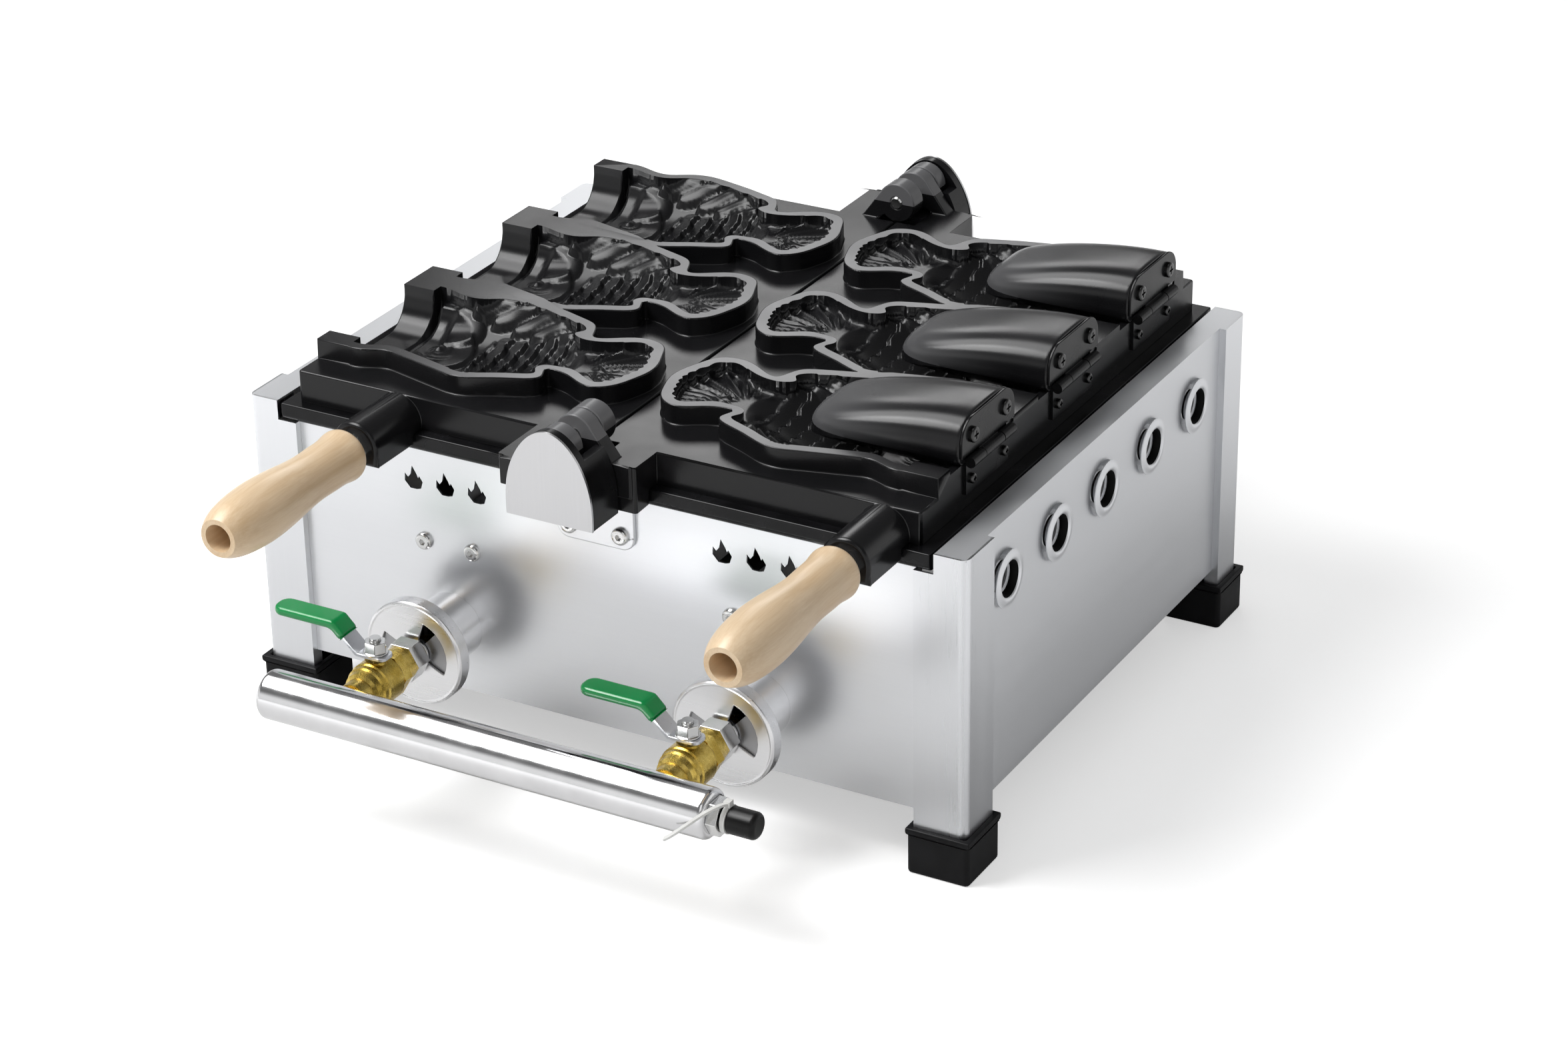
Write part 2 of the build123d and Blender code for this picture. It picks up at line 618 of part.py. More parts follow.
def hinge_side(kn, ids, y0, out, z0):
    """Arm with its knuckles at the front, on the -X side."""
    a = arm(y0, out, z0)
    for i in ids:
        a = a + knuckle_web(-kn[i][0], -kn[i][1], out, max(z0, CAST_Z0))
    return a


def pin_bore(kn):
    return cyl_y(0, HINGE_Z, HINGE_PIN_R + RUN, -kn[0][0] - 1, -kn[2][1] + 1)


def pocket(y_in):
    """Room in a deck's inner corner for the other half's last knuckle."""
    return box(-1, ARM_IN, 0, y_in + 0.7, DECK_Z - 30, HINGE_Z)


base = half_base()
shared_l = flip_x(base)
arm_lf = hinge_side(KN_F, (0, 2), -KN_F[0][0] + 3.5, ARM_OUT_L, ARM_Z0)
arm_lr = flip_y(hinge_side(KN_R, (0, 2), -KN_R[0][0] + 3.5, ARM_OUT_L, ARM_Z0))
left = shared_l + arm_lf + arm_lr + boss(HANDLE_X_L)
left = left - pin_bore(KN_F) - flip_y(pin_bore(KN_R)) - stud_hole(HANDLE_X_L)
keep("left_casting", left)

arm_rf = flip_x(hinge_side(KN_F, (1,), -KN_F[1][0] + 1, ARM_OUT_R, ARM_Z0_R))
arm_rr = flip_y(flip_x(hinge_side(KN_R, (1,), -KN_R[1][0] + 1, ARM_OUT_R, ARM_Z0_R)))
right = base + arm_rf + arm_rr + boss(HANDLE_X_R)
right = right - pocket(-KN_F[2][1]) - flip_y(pocket(-KN_R[2][1]))
for y in FISH_Y:
    right = right + box(HALF_W - SKIRT_T, HALF_W, y + MOUTH_W - MOUTH_HALF - 2, y + MOUTH_W + MOUTH_HALF + 2,
                        CAST_Z0, SILL_TOP)
right = right - pin_bore(KN_F) - flip_y(pin_bore(KN_R)) - stud_hole(HANDLE_X_R)


# --------------------------------------------------------------- cores
def core_section(u, a, waist, up, down):
    """Tongue section: low belly, upright sides and a domed back with shoulders."""
    z0, rise = HINGE_Z + waist, up - waist
    s = 0.42 * rise
    belly = ThreePointArc((u, -a, z0), (u, 0, HINGE_Z - down), (u, a, z0))
    shoulder = [(0.92, 0.42), (0.74, 0.68), (0.4, 0.91)]
    half = [(a * p, z0 + s + (rise - s) * q) for p, q in shoulder]
    back = Spline((u, a, z0 + s), *[(u, y, z) for y, z in half], (u, 0, HINGE_Z + up),
                  *[(u, -y, z) for y, z in reversed(half)], (u, -a, z0 + s))
    sides = [Line((u, a, z0), (u, a, z0 + s)), Line((u, -a, z0 + s), (u, -a, z0))]
    return make_face([belly, sides[0], back, sides[1]])


U_IN = HALF_W - SKIRT_T - 0.6
CORE_LEN = 98.0
# along the tongue from the sill: share of length, share of the half width,
# then its waist, top and belly from the parting plane; the tip hangs low
CORE_STA = [(0.0, 1.0, 0.0, CORE_UP, CORE_DOWN), (0.16, 0.995, 0.0, 23.4, 17.2), (0.34, 0.985, 0.0, 20.8, 16.5), (0.62, 0.93, -1.0, 14.0, 15.0),
            (0.80, 0.80, -3.0, 7.5, 14.0), (0.92, 0.58, -5.5, 0.5, 12.5), (0.985, 0.30, -7.5, -4.5, 10.8)]


def core():
    secs = [core_section(U_IN - s * CORE_LEN, CORE_HALF * a, *levels) for s, a, *levels in CORE_STA]
    tongue = loft(secs)
    end = extrude(core_section(U_IN, CORE_HALF, 0.0, CORE_UP, CORE_DOWN), CORE_X - U_IN, dir=(1, 0, 0))
    end = end & box(U_IN - 1, CORE_X, -60, 60, SILL_TOP + 0.6, HINGE_Z + 60)
    body = tongue + end
    for sy in (-1, 1):
        body = body - cyl_x(sy * LEAF_SCREW_DY, LEAF_UP_Z, 2 + SEAM, CORE_X - 9, CORE_X + 1)
    return body


BARREL_CUTS = (-LEAF_W / 2, -LEAF_W * 0.225, LEAF_W * 0.225, LEAF_W / 2)


def knuckle(y0, y1):
    return cyl_y(CORE_AX, CORE_AXIS_Z, BARREL_R, y0, y1)


def lower_leaf():
    x0, x1 = HALF_W + SEAM, HALF_W + SEAM + LEAF_T
    leaf = box(x0, x1, -LEAF_W / 2, LEAF_W / 2, LEAF_LOW_Z0, CORE_AXIS_Z - BARREL_R - 0.6)
    for a, b in ((BARREL_CUTS[0], BARREL_CUTS[1]), (BARREL_CUTS[2], BARREL_CUTS[3])):
        a, b = a + BARREL_GAP / 2 * (a > 0), b - BARREL_GAP / 2 * (b < 0)
        leaf = leaf + box(x0, x1, a, b, LEAF_LOW_Z0, SILL_TOP + 0.3) + knuckle(a, b)
    leaf = leaf - cyl_y(CORE_AX, CORE_AXIS_Z, BARREL_PIN_R, -LEAF_W, LEAF_W)
    for sy in (-1, 1):
        leaf = leaf - cyl_x(sy * LEAF_SCREW_DY, LEAF_LOW_Z, 1.75, x0 - 1, x1 + 1)
    return leaf


def upper_leaf():
    x0, x1 = CORE_X + SEAM, CORE_X + SEAM + LEAF_T
    a, b = BARREL_CUTS[1] + BARREL_GAP / 2, BARREL_CUTS[2] - BARREL_GAP / 2
    z_low = CORE_AXIS_Z + BARREL_R + 0.6
    plate = box(x0, x1, -CORE_HALF + 1, CORE_HALF - 1, z_low, HINGE_Z + CORE_UP - 1.5)
    tops = [e for e in plate.edges().filter_by(Axis.X) if e.center().Z > HINGE_Z + 9]
    plate = fillet(tops, 13)
    plate = plate + box(x0, x1, a, b, CORE_AXIS_Z, z_low + 1) + knuckle(a, b)
    plate = plate - cyl_y(CORE_AX, CORE_AXIS_Z, BARREL_PIN_R + RUN, -LEAF_W, LEAF_W)
    for sy in (-1, 1):
        plate = plate - cyl_x(sy * LEAF_SCREW_DY, LEAF_UP_Z, 2 + SEAM, x0 - 1, x1 + 1)
    return plate


def pan_screw(x, y, z, r, head, length):
    """Pan-head screw with its axis along X and its head outside x."""
    s = cyl_x(y, z, r, x - length, x) + cyl_x(y, z, head, x, x + 2.4)
    s = fillet(s.faces().sort_by(Axis.X)[-1].edges(), 1.2)
    cross = box(x + 1.5, x + 3, y - 0.6, y + 0.6, z - head * 0.55, z + head * 0.55)
    cross = cross + box(x + 1.5, x + 3, y - head * 0.55, y + head * 0.55, z - 0.6, z + 0.6)
    return s - cross


core_solid, low_leaf, up_leaf = core(), lower_leaf(), upper_leaf()
up_x, low_x = CORE_X + SEAM + LEAF_T + 0.02, HALF_W + SEAM + LEAF_T + 0.02
pins, lows, leaf_screws = [], [], []
for i, y in enumerate(FISH_Y):
    keep("core_%d" % (i + 1), Pos(0, y, 0) * core_solid)
    keep("core_leaf_%d" % (i + 1), Pos(0, y, 0) * up_leaf)
    keep("core_screws_%d" % (i + 1), *[pan_screw(up_x, y + s * LEAF_SCREW_DY, LEAF_UP_Z, 2.0, 4.6, 9)
                                       for s in (-1, 1)])
    lows.append(Pos(0, y, 0) * low_leaf)
    pins.append(cyl_y(CORE_AX, CORE_AXIS_Z, BARREL_PIN_R - 0.01, y - LEAF_W / 2, y + LEAF_W / 2))
    for s in (-1, 1):
        leaf_screws.append(pan_screw(low_x, y + s * LEAF_SCREW_DY, LEAF_LOW_Z, 1.7, 3.0, 6))
        right = right - cyl_x(y + s * LEAF_SCREW_DY, LEAF_LOW_Z, 1.75, low_x - 6.1, HALF_W + 1)
keep("right_casting", right)
keep("core_lower_leaves", *lows)
keep("core_hinge_pins", *pins)
keep("leaf_screws", *leaf_screws)


# --------------------------------------------------------------- handles
def handle(x):
    """Turned wooden handle, waisted behind the nut, with its bore left open."""
    t, n = HANDLE_IN, HANDLE_LEN
    prof = [(0.0, 11.5), (0.022, 15.0), (0.09, 14.9), (0.19, 14.4), (0.29, 14.2), (0.39, 14.8), (0.5, 16.2),
            (0.6, 17.3), (0.69, 17.8), (0.78, 17.5), (0.88, 16.2), (0.955, 13.9), (1.0, 11.2)]
    curve = Spline(*[(x + r, t - s * n, HANDLE_Z) for s, r in prof])
    face = make_face([curve, Polyline((x + prof[-1][1], t - n, HANDLE_Z), (x, t - n, HANDLE_Z), (x, t, HANDLE_Z),
                                      (x + prof[0][1], t, HANDLE_Z))])
    wood = revolve(face, Axis((x, 0, HANDLE_Z), (0, 1, 0)))
    wood = wood - cyl_y(x, HANDLE_Z, HANDLE_BORE_R, t - n - 1, t - HANDLE_SEAT)
    return wood - cyl_y(x, HANDLE_Z, STUD_R + SEAM, t - HANDLE_SEAT - 1, t + 1)


def stud(x):
    """Threaded stud with a nut against the boss and one inside the wood."""
    t = HANDLE_IN - HANDLE_SEAT
    rod = cyl_y(x, HANDLE_Z, STUD_R, t - 12, -FRAME_DROP - 1)
    rod = rod + hex_y(x, HANDLE_Z, 18, HANDLE_IN + SEAM, -BOSS_REACH - SEAM)
    return rod + hex_y(x, HANDLE_Z, 14, t - 7, t - SEAM)


for name, x in (("left", HANDLE_X_L), ("right", HANDLE_X_R)):
    keep(name + "_handle", handle(x))
    keep(name + "_handle_stud", stud(x))


# --------------------------------------------------------------- burners
def burner():
    """Right burner: mixing tube, riser and a loop of slotted tubes."""
    x = BURNER_X
    r, w = HEAD_R, MIXER_WALL
    def skeleton(rr, mr, grow):
        b = cyl_y(x - HEAD_DX, HEAD_Z, rr, HEAD_Y0 + grow, HEAD_Y1 - grow)
        b = b + cyl_y(x + HEAD_DX, HEAD_Z, rr, HEAD_Y0 + grow, HEAD_Y1 - grow)
        for y in (RISER_Y, HEAD_Y1 - RISER_Y + HEAD_Y0):
            b = b + cyl_x(y, HEAD_Z, rr * 0.8, x - HEAD_DX, x + HEAD_DX)
        b = b + cyl_z(x, RISER_Y, mr * 0.9, GAS_Z, HEAD_Z)
        return b + cyl_y(x, GAS_Z, mr, PANEL_Y - 12 - 2 * grow, RISER_Y + 14 - grow)
    b = skeleton(r, MIXER_R, 0) - skeleton(r - w, MIXER_R - w, w)
    step = (HEAD_Y1 - HEAD_Y0 - 30) / (PORT_N - 1)
    for sx in (-1, 1):
        for i in range(PORT_N):
            y = HEAD_Y0 + 15 + i * step
            b = b - box(x + sx * HEAD_DX - 6, x + sx * HEAD_DX + 6, y - PORT_W / 2, y + PORT_W / 2,
                        HEAD_Z + r - w - 4, HEAD_Z + r + 1)
    return b


right_burner = burner()
keep("burner_right", right_burner)
keep("burner_left", flip_x(right_burner))


def burner_bracket(reach):
    """Angle screwed inside an end panel; its shelf carries the burner's loop."""
    x, y0 = BURNER_X, PANEL_Y + SHEET + SEAM
    half = HEAD_DX + 12
    z1 = HEAD_Z - HEAD_R - SEAM
    b = box(x - half, x + half, y0, y0 + 2, SCREW_Z - 9, z1)
    b = b + box(x - half, x + half, y0, reach, z1 - 2, z1)
    for dx in (-1, 1):
        b = b - cyl_y(x + dx * SCREW_DX, SCREW_Z, SCREW_R + SEAM, y0 - 1, y0 + 3)
    return b - box(x - 24, x + 24, y0 + 12, reach + 1, 0, z1 + 1)


bracket_f = burner_bracket(HEAD_Y0 + 14)
bracket_r = flip_y(burner_bracket(BODY_D - HEAD_Y1 + 14))
keep("burner_brackets", *both(bracket_f), *both(bracket_r))

bell_y1 = PANEL_Y - SEAM
plate_y1 = DISC_FACE_Y + DISC_T + 0.3 + 1.5
bell = cyl_y(BURNER_X, GAS_Z, BELL_R, plate_y1 + SEAM, bell_y1)
bell = bell - cyl_y(BURNER_X, GAS_Z, BELL_R - BELL_WALL, plate_y1 - 1, bell_y1 - 1.2)
bell = bell - cyl_y(BURNER_X, GAS_Z, MIXER_R + SEAM, bell_y1 - 3, bell_y1 + 1)
keep("burner_bells", *both(bell))


def windows(x, a0, y0, y1):
    """Two opposite sector windows, as solids to cut."""
    cut = []
    for turn in (0, 180):
        pts = []
        n = 8
        for i in range(n + 1):
            a = math.radians(turn + a0 + WINDOW_DEG * i / n)
            pts.append((x + WINDOW_R1 * math.cos(a), GAS_Z + WINDOW_R1 * math.sin(a)))
        for i in range(n, -1, -1):
            a = math.radians(turn + a0 + WINDOW_DEG * i / n)
            pts.append((x + WINDOW_R0 * math.cos(a), GAS_Z + WINDOW_R0 * math.sin(a)))
        cut.append(prism_y(pts, y0, y1))
    return cut


def shutter_plate(x):
    y0 = plate_y1 - 1.5
    p = cyl_y(x, GAS_Z, DISC_R - 3.2, y0, plate_y1) - cyl_y(x, GAS_Z, SPUD_R + SEAM, y0 - 1, plate_y1 + 1)
    for w in windows(x, WINDOW_A0 + WINDOW_DEG - WINDOW_OPEN, y0 - 1, plate_y1 + 1):
        p = p - w
    return p


def shutter_disc(x):
    """Turned pan with a rolled rim and two windows."""
    y0 = DISC_FACE_Y
    d = turned_y([(y0, SPUD_R + RUN), (y0, DISC_R - 2.5), (y0 - 0.8, DISC_R - 1.6), (y0 + 0.6, DISC_R),
                  (y0 + DISC_RIM, DISC_R), (y0 + DISC_RIM, DISC_R - 1.5), (y0 + DISC_T, DISC_R - 1.5),
                  (y0 + DISC_T, SPUD_R + RUN)], x, GAS_Z)
    for w in windows(x, WINDOW_A0, y0 - 1, y0 + DISC_T + 1):
        d = d - w
    return d


def spud(x):
    """Gas injector through the shutter, with its collar and drilled nose."""
    y0 = VALVE_END_Y
    s = turned_y([(y0 + 11.5, 0), (y0 + 11.5, 8.5), (DISC_FACE_Y - 0.3, 8.5), (DISC_FACE_Y - 0.3, SPUD_R),
                  (-24, SPUD_R), (-17, 3.2), (-17, 0)], x, GAS_Z)
    return s - cyl_y(x, GAS_Z, 0.8, -24, -16) - cyl_y(x, GAS_Z, 3, y0, -22)


keep("shutter_plates", shutter_plate(BURNER_X), shutter_plate(-BURNER_X))
keep("shutter_disc_right", shutter_disc(BURNER_X))
keep("shutter_disc_left", shutter_disc(-BURNER_X))
keep("gas_spuds", spud(BURNER_X), spud(-BURNER_X))


# --------------------------------------------------------------- valves
def valve_nut(x):
    n = hex_y(x, GAS_Z, 22, VALVE_END_Y + SEAM, VALVE_END_Y + 11.4)
    return n - cyl_y(x, GAS_Z, 3, VALVE_END_Y - 1, VALVE_END_Y + 12)


def valve_body(x):
    """Brass body turned about the pipe's axis, with the stem's tower."""
    y, r, e = VALVE_Y, VALVE_BODY_R, VALVE_END_Y
    back = MANIFOLD_Y + MANIFOLD_R + 0.1
    b = turned_y([(back, 0), (back, 9.5), (y - 17, 9.5), (y - 15.5, 11.5), (y - 12, 12.2), (y - 11, 13.2),
                  (y - 8, 13.2), (y - 7, r), (y + 6, r), (y + 8, 12.6), (y + 11, 11.5), (e - 9, 10.8), (e, 10.4),
                  (e, 0)], x, GAS_Z)
    b = b + hex_y(x, GAS_Z, 25, y + 7, y + 14) + cyl_z(x, y, TOWER_R, GAS_Z, TOWER_TOP)
    b = b - cyl_y(x, GAS_Z, VALVE_PORT_R, back - 1, e + 1) - Pos(x, y, GAS_Z) * Sphere(BALL_R + 0.1)
    return b - cyl_z(x, y, STEM_R + RUN, GAS_Z, TOWER_TOP + 1)


def valve_ball(x):
    """Bored ball with the stem that the lever turns."""
    ball = Pos(x, VALVE_Y, GAS_Z) * Sphere(BALL_R)
    return ball + cyl_z(x, VALVE_Y, STEM_R, GAS_Z, LEVER_Z + 12) - cyl_x(VALVE_Y, GAS_Z, VALVE_PORT_R, x - 10,
                                                                          x + 10)


def lever_path(x, z_off, a, b):
    """Centre line of the lever in (x, z) between two stations, pointing to -X."""
    z = LEVER_Z + LEVER_T / 2 + z_off
    return [(x + a, z), (x - 9.5, z), (x - 9.5 - LEVER_RISE, z + LEVER_RISE), (x - b, z + LEVER_RISE)]


def strip(pts, t):
    """Polygon of thickness t along a bent centre line."""
    up, down = [], []
    for i, (px, pz) in enumerate(pts):
        d1 = Vector(px - pts[i - 1][0], pz - pts[i - 1][1]).normalized() if i else None
        d2 = Vector(pts[i + 1][0] - px, pts[i + 1][1] - pz).normalized() if i < len(pts) - 1 else None
        d1, d2 = d1 or d2, d2 or d1
        n = (Vector(-d1.Y, d1.X) + Vector(-d2.Y, d2.X)).normalized()
        k = t / 2 / n.dot(Vector(-d1.Y, d1.X))
        up.append((px + n.X * k, pz + n.Y * k))
        down.append((px - n.X * k, pz - n.Y * k))
    return up + down[::-1]


def lever(x):
    y = VALVE_Y
    pts = lever_path(x, 0, 9, LEVER_LEN - 3)
    bar = prism_y(strip(pts, LEVER_T), y - LEVER_W / 2, y + LEVER_W / 2)
    bar = fillet(bar.edges().filter_by(Axis.Z).sort_by(Axis.X)[-2:], 4)
    return bar - cyl_z(x, y, STEM_R + SEAM, LEVER_Z - 1, LEVER_Z + LEVER_T + 1)


def lever_grip(x):
    """Dipped sleeve over the lever's outer end."""
    y = VALVE_Y
    pts = lever_path(x, 0, 9, LEVER_LEN)
    mid = (pts[1][0] - LEVER_RISE * 0.55, pts[1][1] + LEVER_RISE * 0.55)
    sleeve = prism_y(strip([mid] + pts[2:], GRIP_T), y - GRIP_W / 2, y + GRIP_W / 2)
    tip = [e for e in sleeve.edges().filter_by(Axis.Z) if e.center().X < x - LEVER_LEN + 1]
    sleeve = fillet(tip, 6.5)
    bar = prism_y(strip(lever_path(x, 0, 9, LEVER_LEN - 3), LEVER_T), y - LEVER_W / 2, y + LEVER_W / 2)
    return sleeve - bar


def lever_nut(x):
    z = LEVER_Z + LEVER_T + SEAM
    n = cyl_z(x, VALVE_Y, 7.2, z, z + 1.2) + hex_z(x, VALVE_Y, 11.5, z + 1.2, z + 7.5)
    return n - cyl_z(x, VALVE_Y, STEM_R + SEAM, z - 1, z + 9)


keep("valve_nuts", valve_nut(BURNER_X), valve_nut(-BURNER_X))
for name, x in (("left", -BURNER_X), ("right", BURNER_X)):
    keep("valve_body_" + name, valve_body(x))
    keep("valve_ball_" + name, valve_ball(x))
    keep("valve_lever_" + name, lever(x))
    keep("lever_grip_" + name, lever_grip(x))
    keep("lever_nut_" + name, lever_nut(x))


# --------------------------------------------------------------- manifold
tube = cyl_x(MANIFOLD_Y, GAS_Z, MANIFOLD_R, MANIFOLD_X0, MANIFOLD_X1)
tube = fillet(tube.edges().filter_by(GeomType.CIRCLE), 3.5)
tube = tube - cyl_x(MANIFOLD_Y, GAS_Z, MANIFOLD_R - TUBE_WALL, MANIFOLD_X0 + 4, MANIFOLD_X1 - 4)
for x in (-BURNER_X, BURNER_X):
    tube = tube - cyl_y(x, GAS_Z, VALVE_PORT_R, MANIFOLD_Y, MANIFOLD_Y + MANIFOLD_R + 1)
tube = tube - cyl_x(MANIFOLD_Y, GAS_Z, 3, MANIFOLD_X1 - 6, MANIFOLD_X1 + 1)
keep("manifold", tube)

fx = MANIFOLD_X1 + SEAM
fitting = hex_x(MANIFOLD_Y, GAS_Z, FIT_AF, fx, fx + FIT_T) - cyl_x(MANIFOLD_Y, GAS_Z, 3, fx - 1, fx + FIT_T + 1)
keep("inlet_fitting", fitting)
bx = fx + FIT_T + SEAM
barb = cyl_x(MANIFOLD_Y, GAS_Z, BARB_R, bx, bx + BARB_LEN)
barb = chamfer(barb.faces().sort_by(Axis.X)[-1].edges(), 1) - cyl_x(MANIFOLD_Y, GAS_Z, 3, bx - 1, bx + BARB_LEN + 1)
keep("inlet_barb", barb)
neck_x = bx + 0.4
cap = cyl_x(MANIFOLD_Y, GAS_Z, BARB_R + 1.6, neck_x, neck_x + 6)
shell = cyl_x(MANIFOLD_Y, GAS_Z, CAP_R, neck_x + 4, bx + BARB_LEN + CAP_FLOOR)
cap = cap + fillet(shell.faces().sort_by(Axis.X)[-1].edges(), 3)
cap = cap - cyl_x(MANIFOLD_Y, GAS_Z, BARB_R + 0.08, neck_x - 1, bx + BARB_LEN + 0.3)
keep("inlet_cap", cap)
tie_r = BARB_R + 1.6 + SEAM
band = cyl_x(MANIFOLD_Y, GAS_Z, tie_r + 1.1, neck_x + 0.5, neck_x + 3.3) - cyl_x(MANIFOLD_Y, GAS_Z, tie_r,
                                                                                 neck_x, neck_x + 4)
lock = box(neck_x, neck_x + 3.8, MANIFOLD_Y - 2.2, MANIFOLD_Y + 2.2, GAS_Z + tie_r + 0.6, GAS_Z + tie_r + 4.2)
tail_pts = [(neck_x + 1.9, MANIFOLD_Y - 1, GAS_Z + tie_r + 2.4), (neck_x - 4, MANIFOLD_Y - 13, GAS_Z + tie_r + 2),
            (neck_x - 14, MANIFOLD_Y - 19.5, GAS_Z + 1), (neck_x - 26, MANIFOLD_Y - 21, GAS_Z - 9)]
path = Spline(*tail_pts)
sec = Plane(origin=path @ 0, z_dir=path % 0) * Rectangle(1.3, 2.6)
keep("cap_tie", band + lock + sweep(sec, path))


# --------------------------------------------------------------- screws
def button_screw(x, z, y_seat, length):
    """Round-headed screw along Y, its head in front of y_seat."""
    s = cyl_y(x, z, SCREW_R, y_seat, y_seat + length) + cyl_y(x, z, SCREW_HEAD_R, y_seat - 3, y_seat)
    s = fillet(s.faces().sort_by(Axis.Y)[0].edges(), 2)
    return s - hex_y(x, z, 3.6, y_seat - 4, y_seat - 1.2)


panel_screws = [button_screw(sx * BURNER_X + dx * SCREW_DX, SCREW_Z, PANEL_Y - SEAM, 7)
                for sx in (-1, 1) for dx in (-1, 1)]
keep("panel_screws", *panel_screws, *[flip_y(s) for s in panel_screws])
bracket_screws = [button_screw(sx * BRACKET_SCREW_X, BRACKET_SCREW_Z, PANEL_Y - BRACKET_T - SEAM, 8)
                  for sx in (-1, 1)]
keep("bracket_screws", *bracket_screws, *[flip_y(s) for s in bracket_screws])

os.makedirs("parts", exist_ok=True)
for name, shape in parts.items():
    export_step(shape, "parts/%s.step" % name)
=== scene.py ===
# Gas taiyaki maker: a sheet-steel stand with two burners, two non-stick
# castings hinged on one centre line and three hinged mouth cores.
import math

import bmesh
import bpy
import numpy as np
from mathutils import Matrix, Vector


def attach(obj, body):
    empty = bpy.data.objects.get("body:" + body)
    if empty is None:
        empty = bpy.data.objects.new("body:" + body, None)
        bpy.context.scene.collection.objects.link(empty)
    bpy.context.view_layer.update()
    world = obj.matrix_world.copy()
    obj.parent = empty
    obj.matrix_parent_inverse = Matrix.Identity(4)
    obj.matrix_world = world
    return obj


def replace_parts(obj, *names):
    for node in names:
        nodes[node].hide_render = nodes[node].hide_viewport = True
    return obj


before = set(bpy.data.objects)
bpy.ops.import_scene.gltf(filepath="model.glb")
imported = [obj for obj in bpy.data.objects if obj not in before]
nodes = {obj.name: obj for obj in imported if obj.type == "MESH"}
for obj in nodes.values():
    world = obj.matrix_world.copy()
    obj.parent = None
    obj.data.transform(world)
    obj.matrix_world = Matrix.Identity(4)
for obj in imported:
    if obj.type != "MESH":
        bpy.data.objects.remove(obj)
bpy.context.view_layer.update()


# ------------------------------------------------------------------ posts
# Four corner posts folded from stainless sheet, open to the inside. The
# grain of the sheet runs up each post.
def new_finish(name):
    """Material with its node tree and its principled shader."""
    finish = bpy.data.materials.new(name)
    finish.use_nodes = True
    return finish, finish.node_tree, finish.node_tree.nodes["Principled BSDF"]


def new_group(name, inputs, outputs):
    """Shader node group with named float, vector or colour sockets."""
    group = bpy.data.node_groups.new(name, "ShaderNodeTree")
    for label, kind, value in inputs:
        socket = group.interface.new_socket(name=label, in_out="INPUT", socket_type=kind)
        if value is not None:
            socket.default_value = value
    for label, kind in outputs:
        group.interface.new_socket(name=label, in_out="OUTPUT", socket_type=kind)
    return group, group.nodes.new("NodeGroupInput"), group.nodes.new("NodeGroupOutput")


def math_node(tree, operation, a, b=None):
    """One Math node over numbers or sockets."""
    node = tree.nodes.new("ShaderNodeMath")
    node.operation = operation
    for socket, value in zip(node.inputs, (a, b)):
        if isinstance(value, (int, float)):
            socket.default_value = value
        elif value is not None:
            tree.links.new(value, socket)
    return node.outputs[0]


def map_range(tree, value, low, high, to_low=0.0, to_high=1.0):
    """Eased step of a value from one range to another."""
    node = tree.nodes.new("ShaderNodeMapRange")
    node.interpolation_type = "SMOOTHSTEP"
    tree.links.new(value, node.inputs["Value"])
    limits = {"From Min": low, "From Max": high, "To Min": to_low, "To Max": to_high}
    for socket, number in limits.items():
        node.inputs[socket].default_value = number
    return node.outputs["Result"]


def noise_node(tree, vector, scale, detail=4.0, rough=0.55, stretch=None):
    """Noise on a vector, stretched by a Mapping node where a grain is wanted."""
    if stretch:
        mapping = tree.nodes.new("ShaderNodeMapping")
        mapping.inputs["Scale"].default_value = stretch
        tree.links.new(vector, mapping.inputs["Vector"])
        vector = mapping.outputs["Vector"]
    node = tree.nodes.new("ShaderNodeTexNoise")
    tree.links.new(vector, node.inputs["Vector"])
    node.inputs["Scale"].default_value = scale
    node.inputs["Detail"].default_value = detail
    node.inputs["Roughness"].default_value = rough
    return node.outputs["Fac"]


def mix_colour(tree, fac, a, b):
    """Colour between a and b; each is a tuple or a socket."""
    node = tree.nodes.new("ShaderNodeMix")
    node.data_type = "RGBA"
    tree.links.new(fac, node.inputs["Factor"])
    for socket, value in ((node.inputs["A"], a), (node.inputs["B"], b)):
        if isinstance(value, tuple):
            socket.default_value = (*value, 1.0)
        else:
            tree.links.new(value, socket)
    return node.outputs["Result"]


def bump(tree, shader, height, strength, distance):
    """Fine relief of a skin, in metres."""
    node = tree.nodes.new("ShaderNodeBump")
    node.inputs["Strength"].default_value = strength
    node.inputs["Distance"].default_value = distance
    tree.links.new(height, node.inputs["Height"])
    tree.links.new(node.outputs["Normal"], shader.inputs["Normal"])


def place(tree):
    """Place on the piece, in metres."""
    return tree.nodes.new("ShaderNodeTexCoord").outputs["Object"]


# Grain of rolled or brushed sheet, with the faint smears that handling leaves.
sheet_grain, g_in, g_out = new_group(
    "sheet_grain",
    [("Vector", "NodeSocketVector", None)],
    [("Grain", "NodeSocketFloat"), ("Smears", "NodeSocketFloat")])
g_noise = noise_node(sheet_grain, g_in.outputs["Vector"], 1.0, 3.0, 0.6)
sheet_grain.links.new(g_noise, g_out.inputs["Grain"])
g_smear = noise_node(sheet_grain, g_in.outputs["Vector"], 0.02, 3.0, 0.5)
sheet_grain.links.new(g_smear, g_out.inputs["Smears"])


GRAIN_STRETCH = 0.02
GRAIN_DEPTH = 0.00004
GRAIN_SHARE = 0.25       # of the tone; the smears make the rest


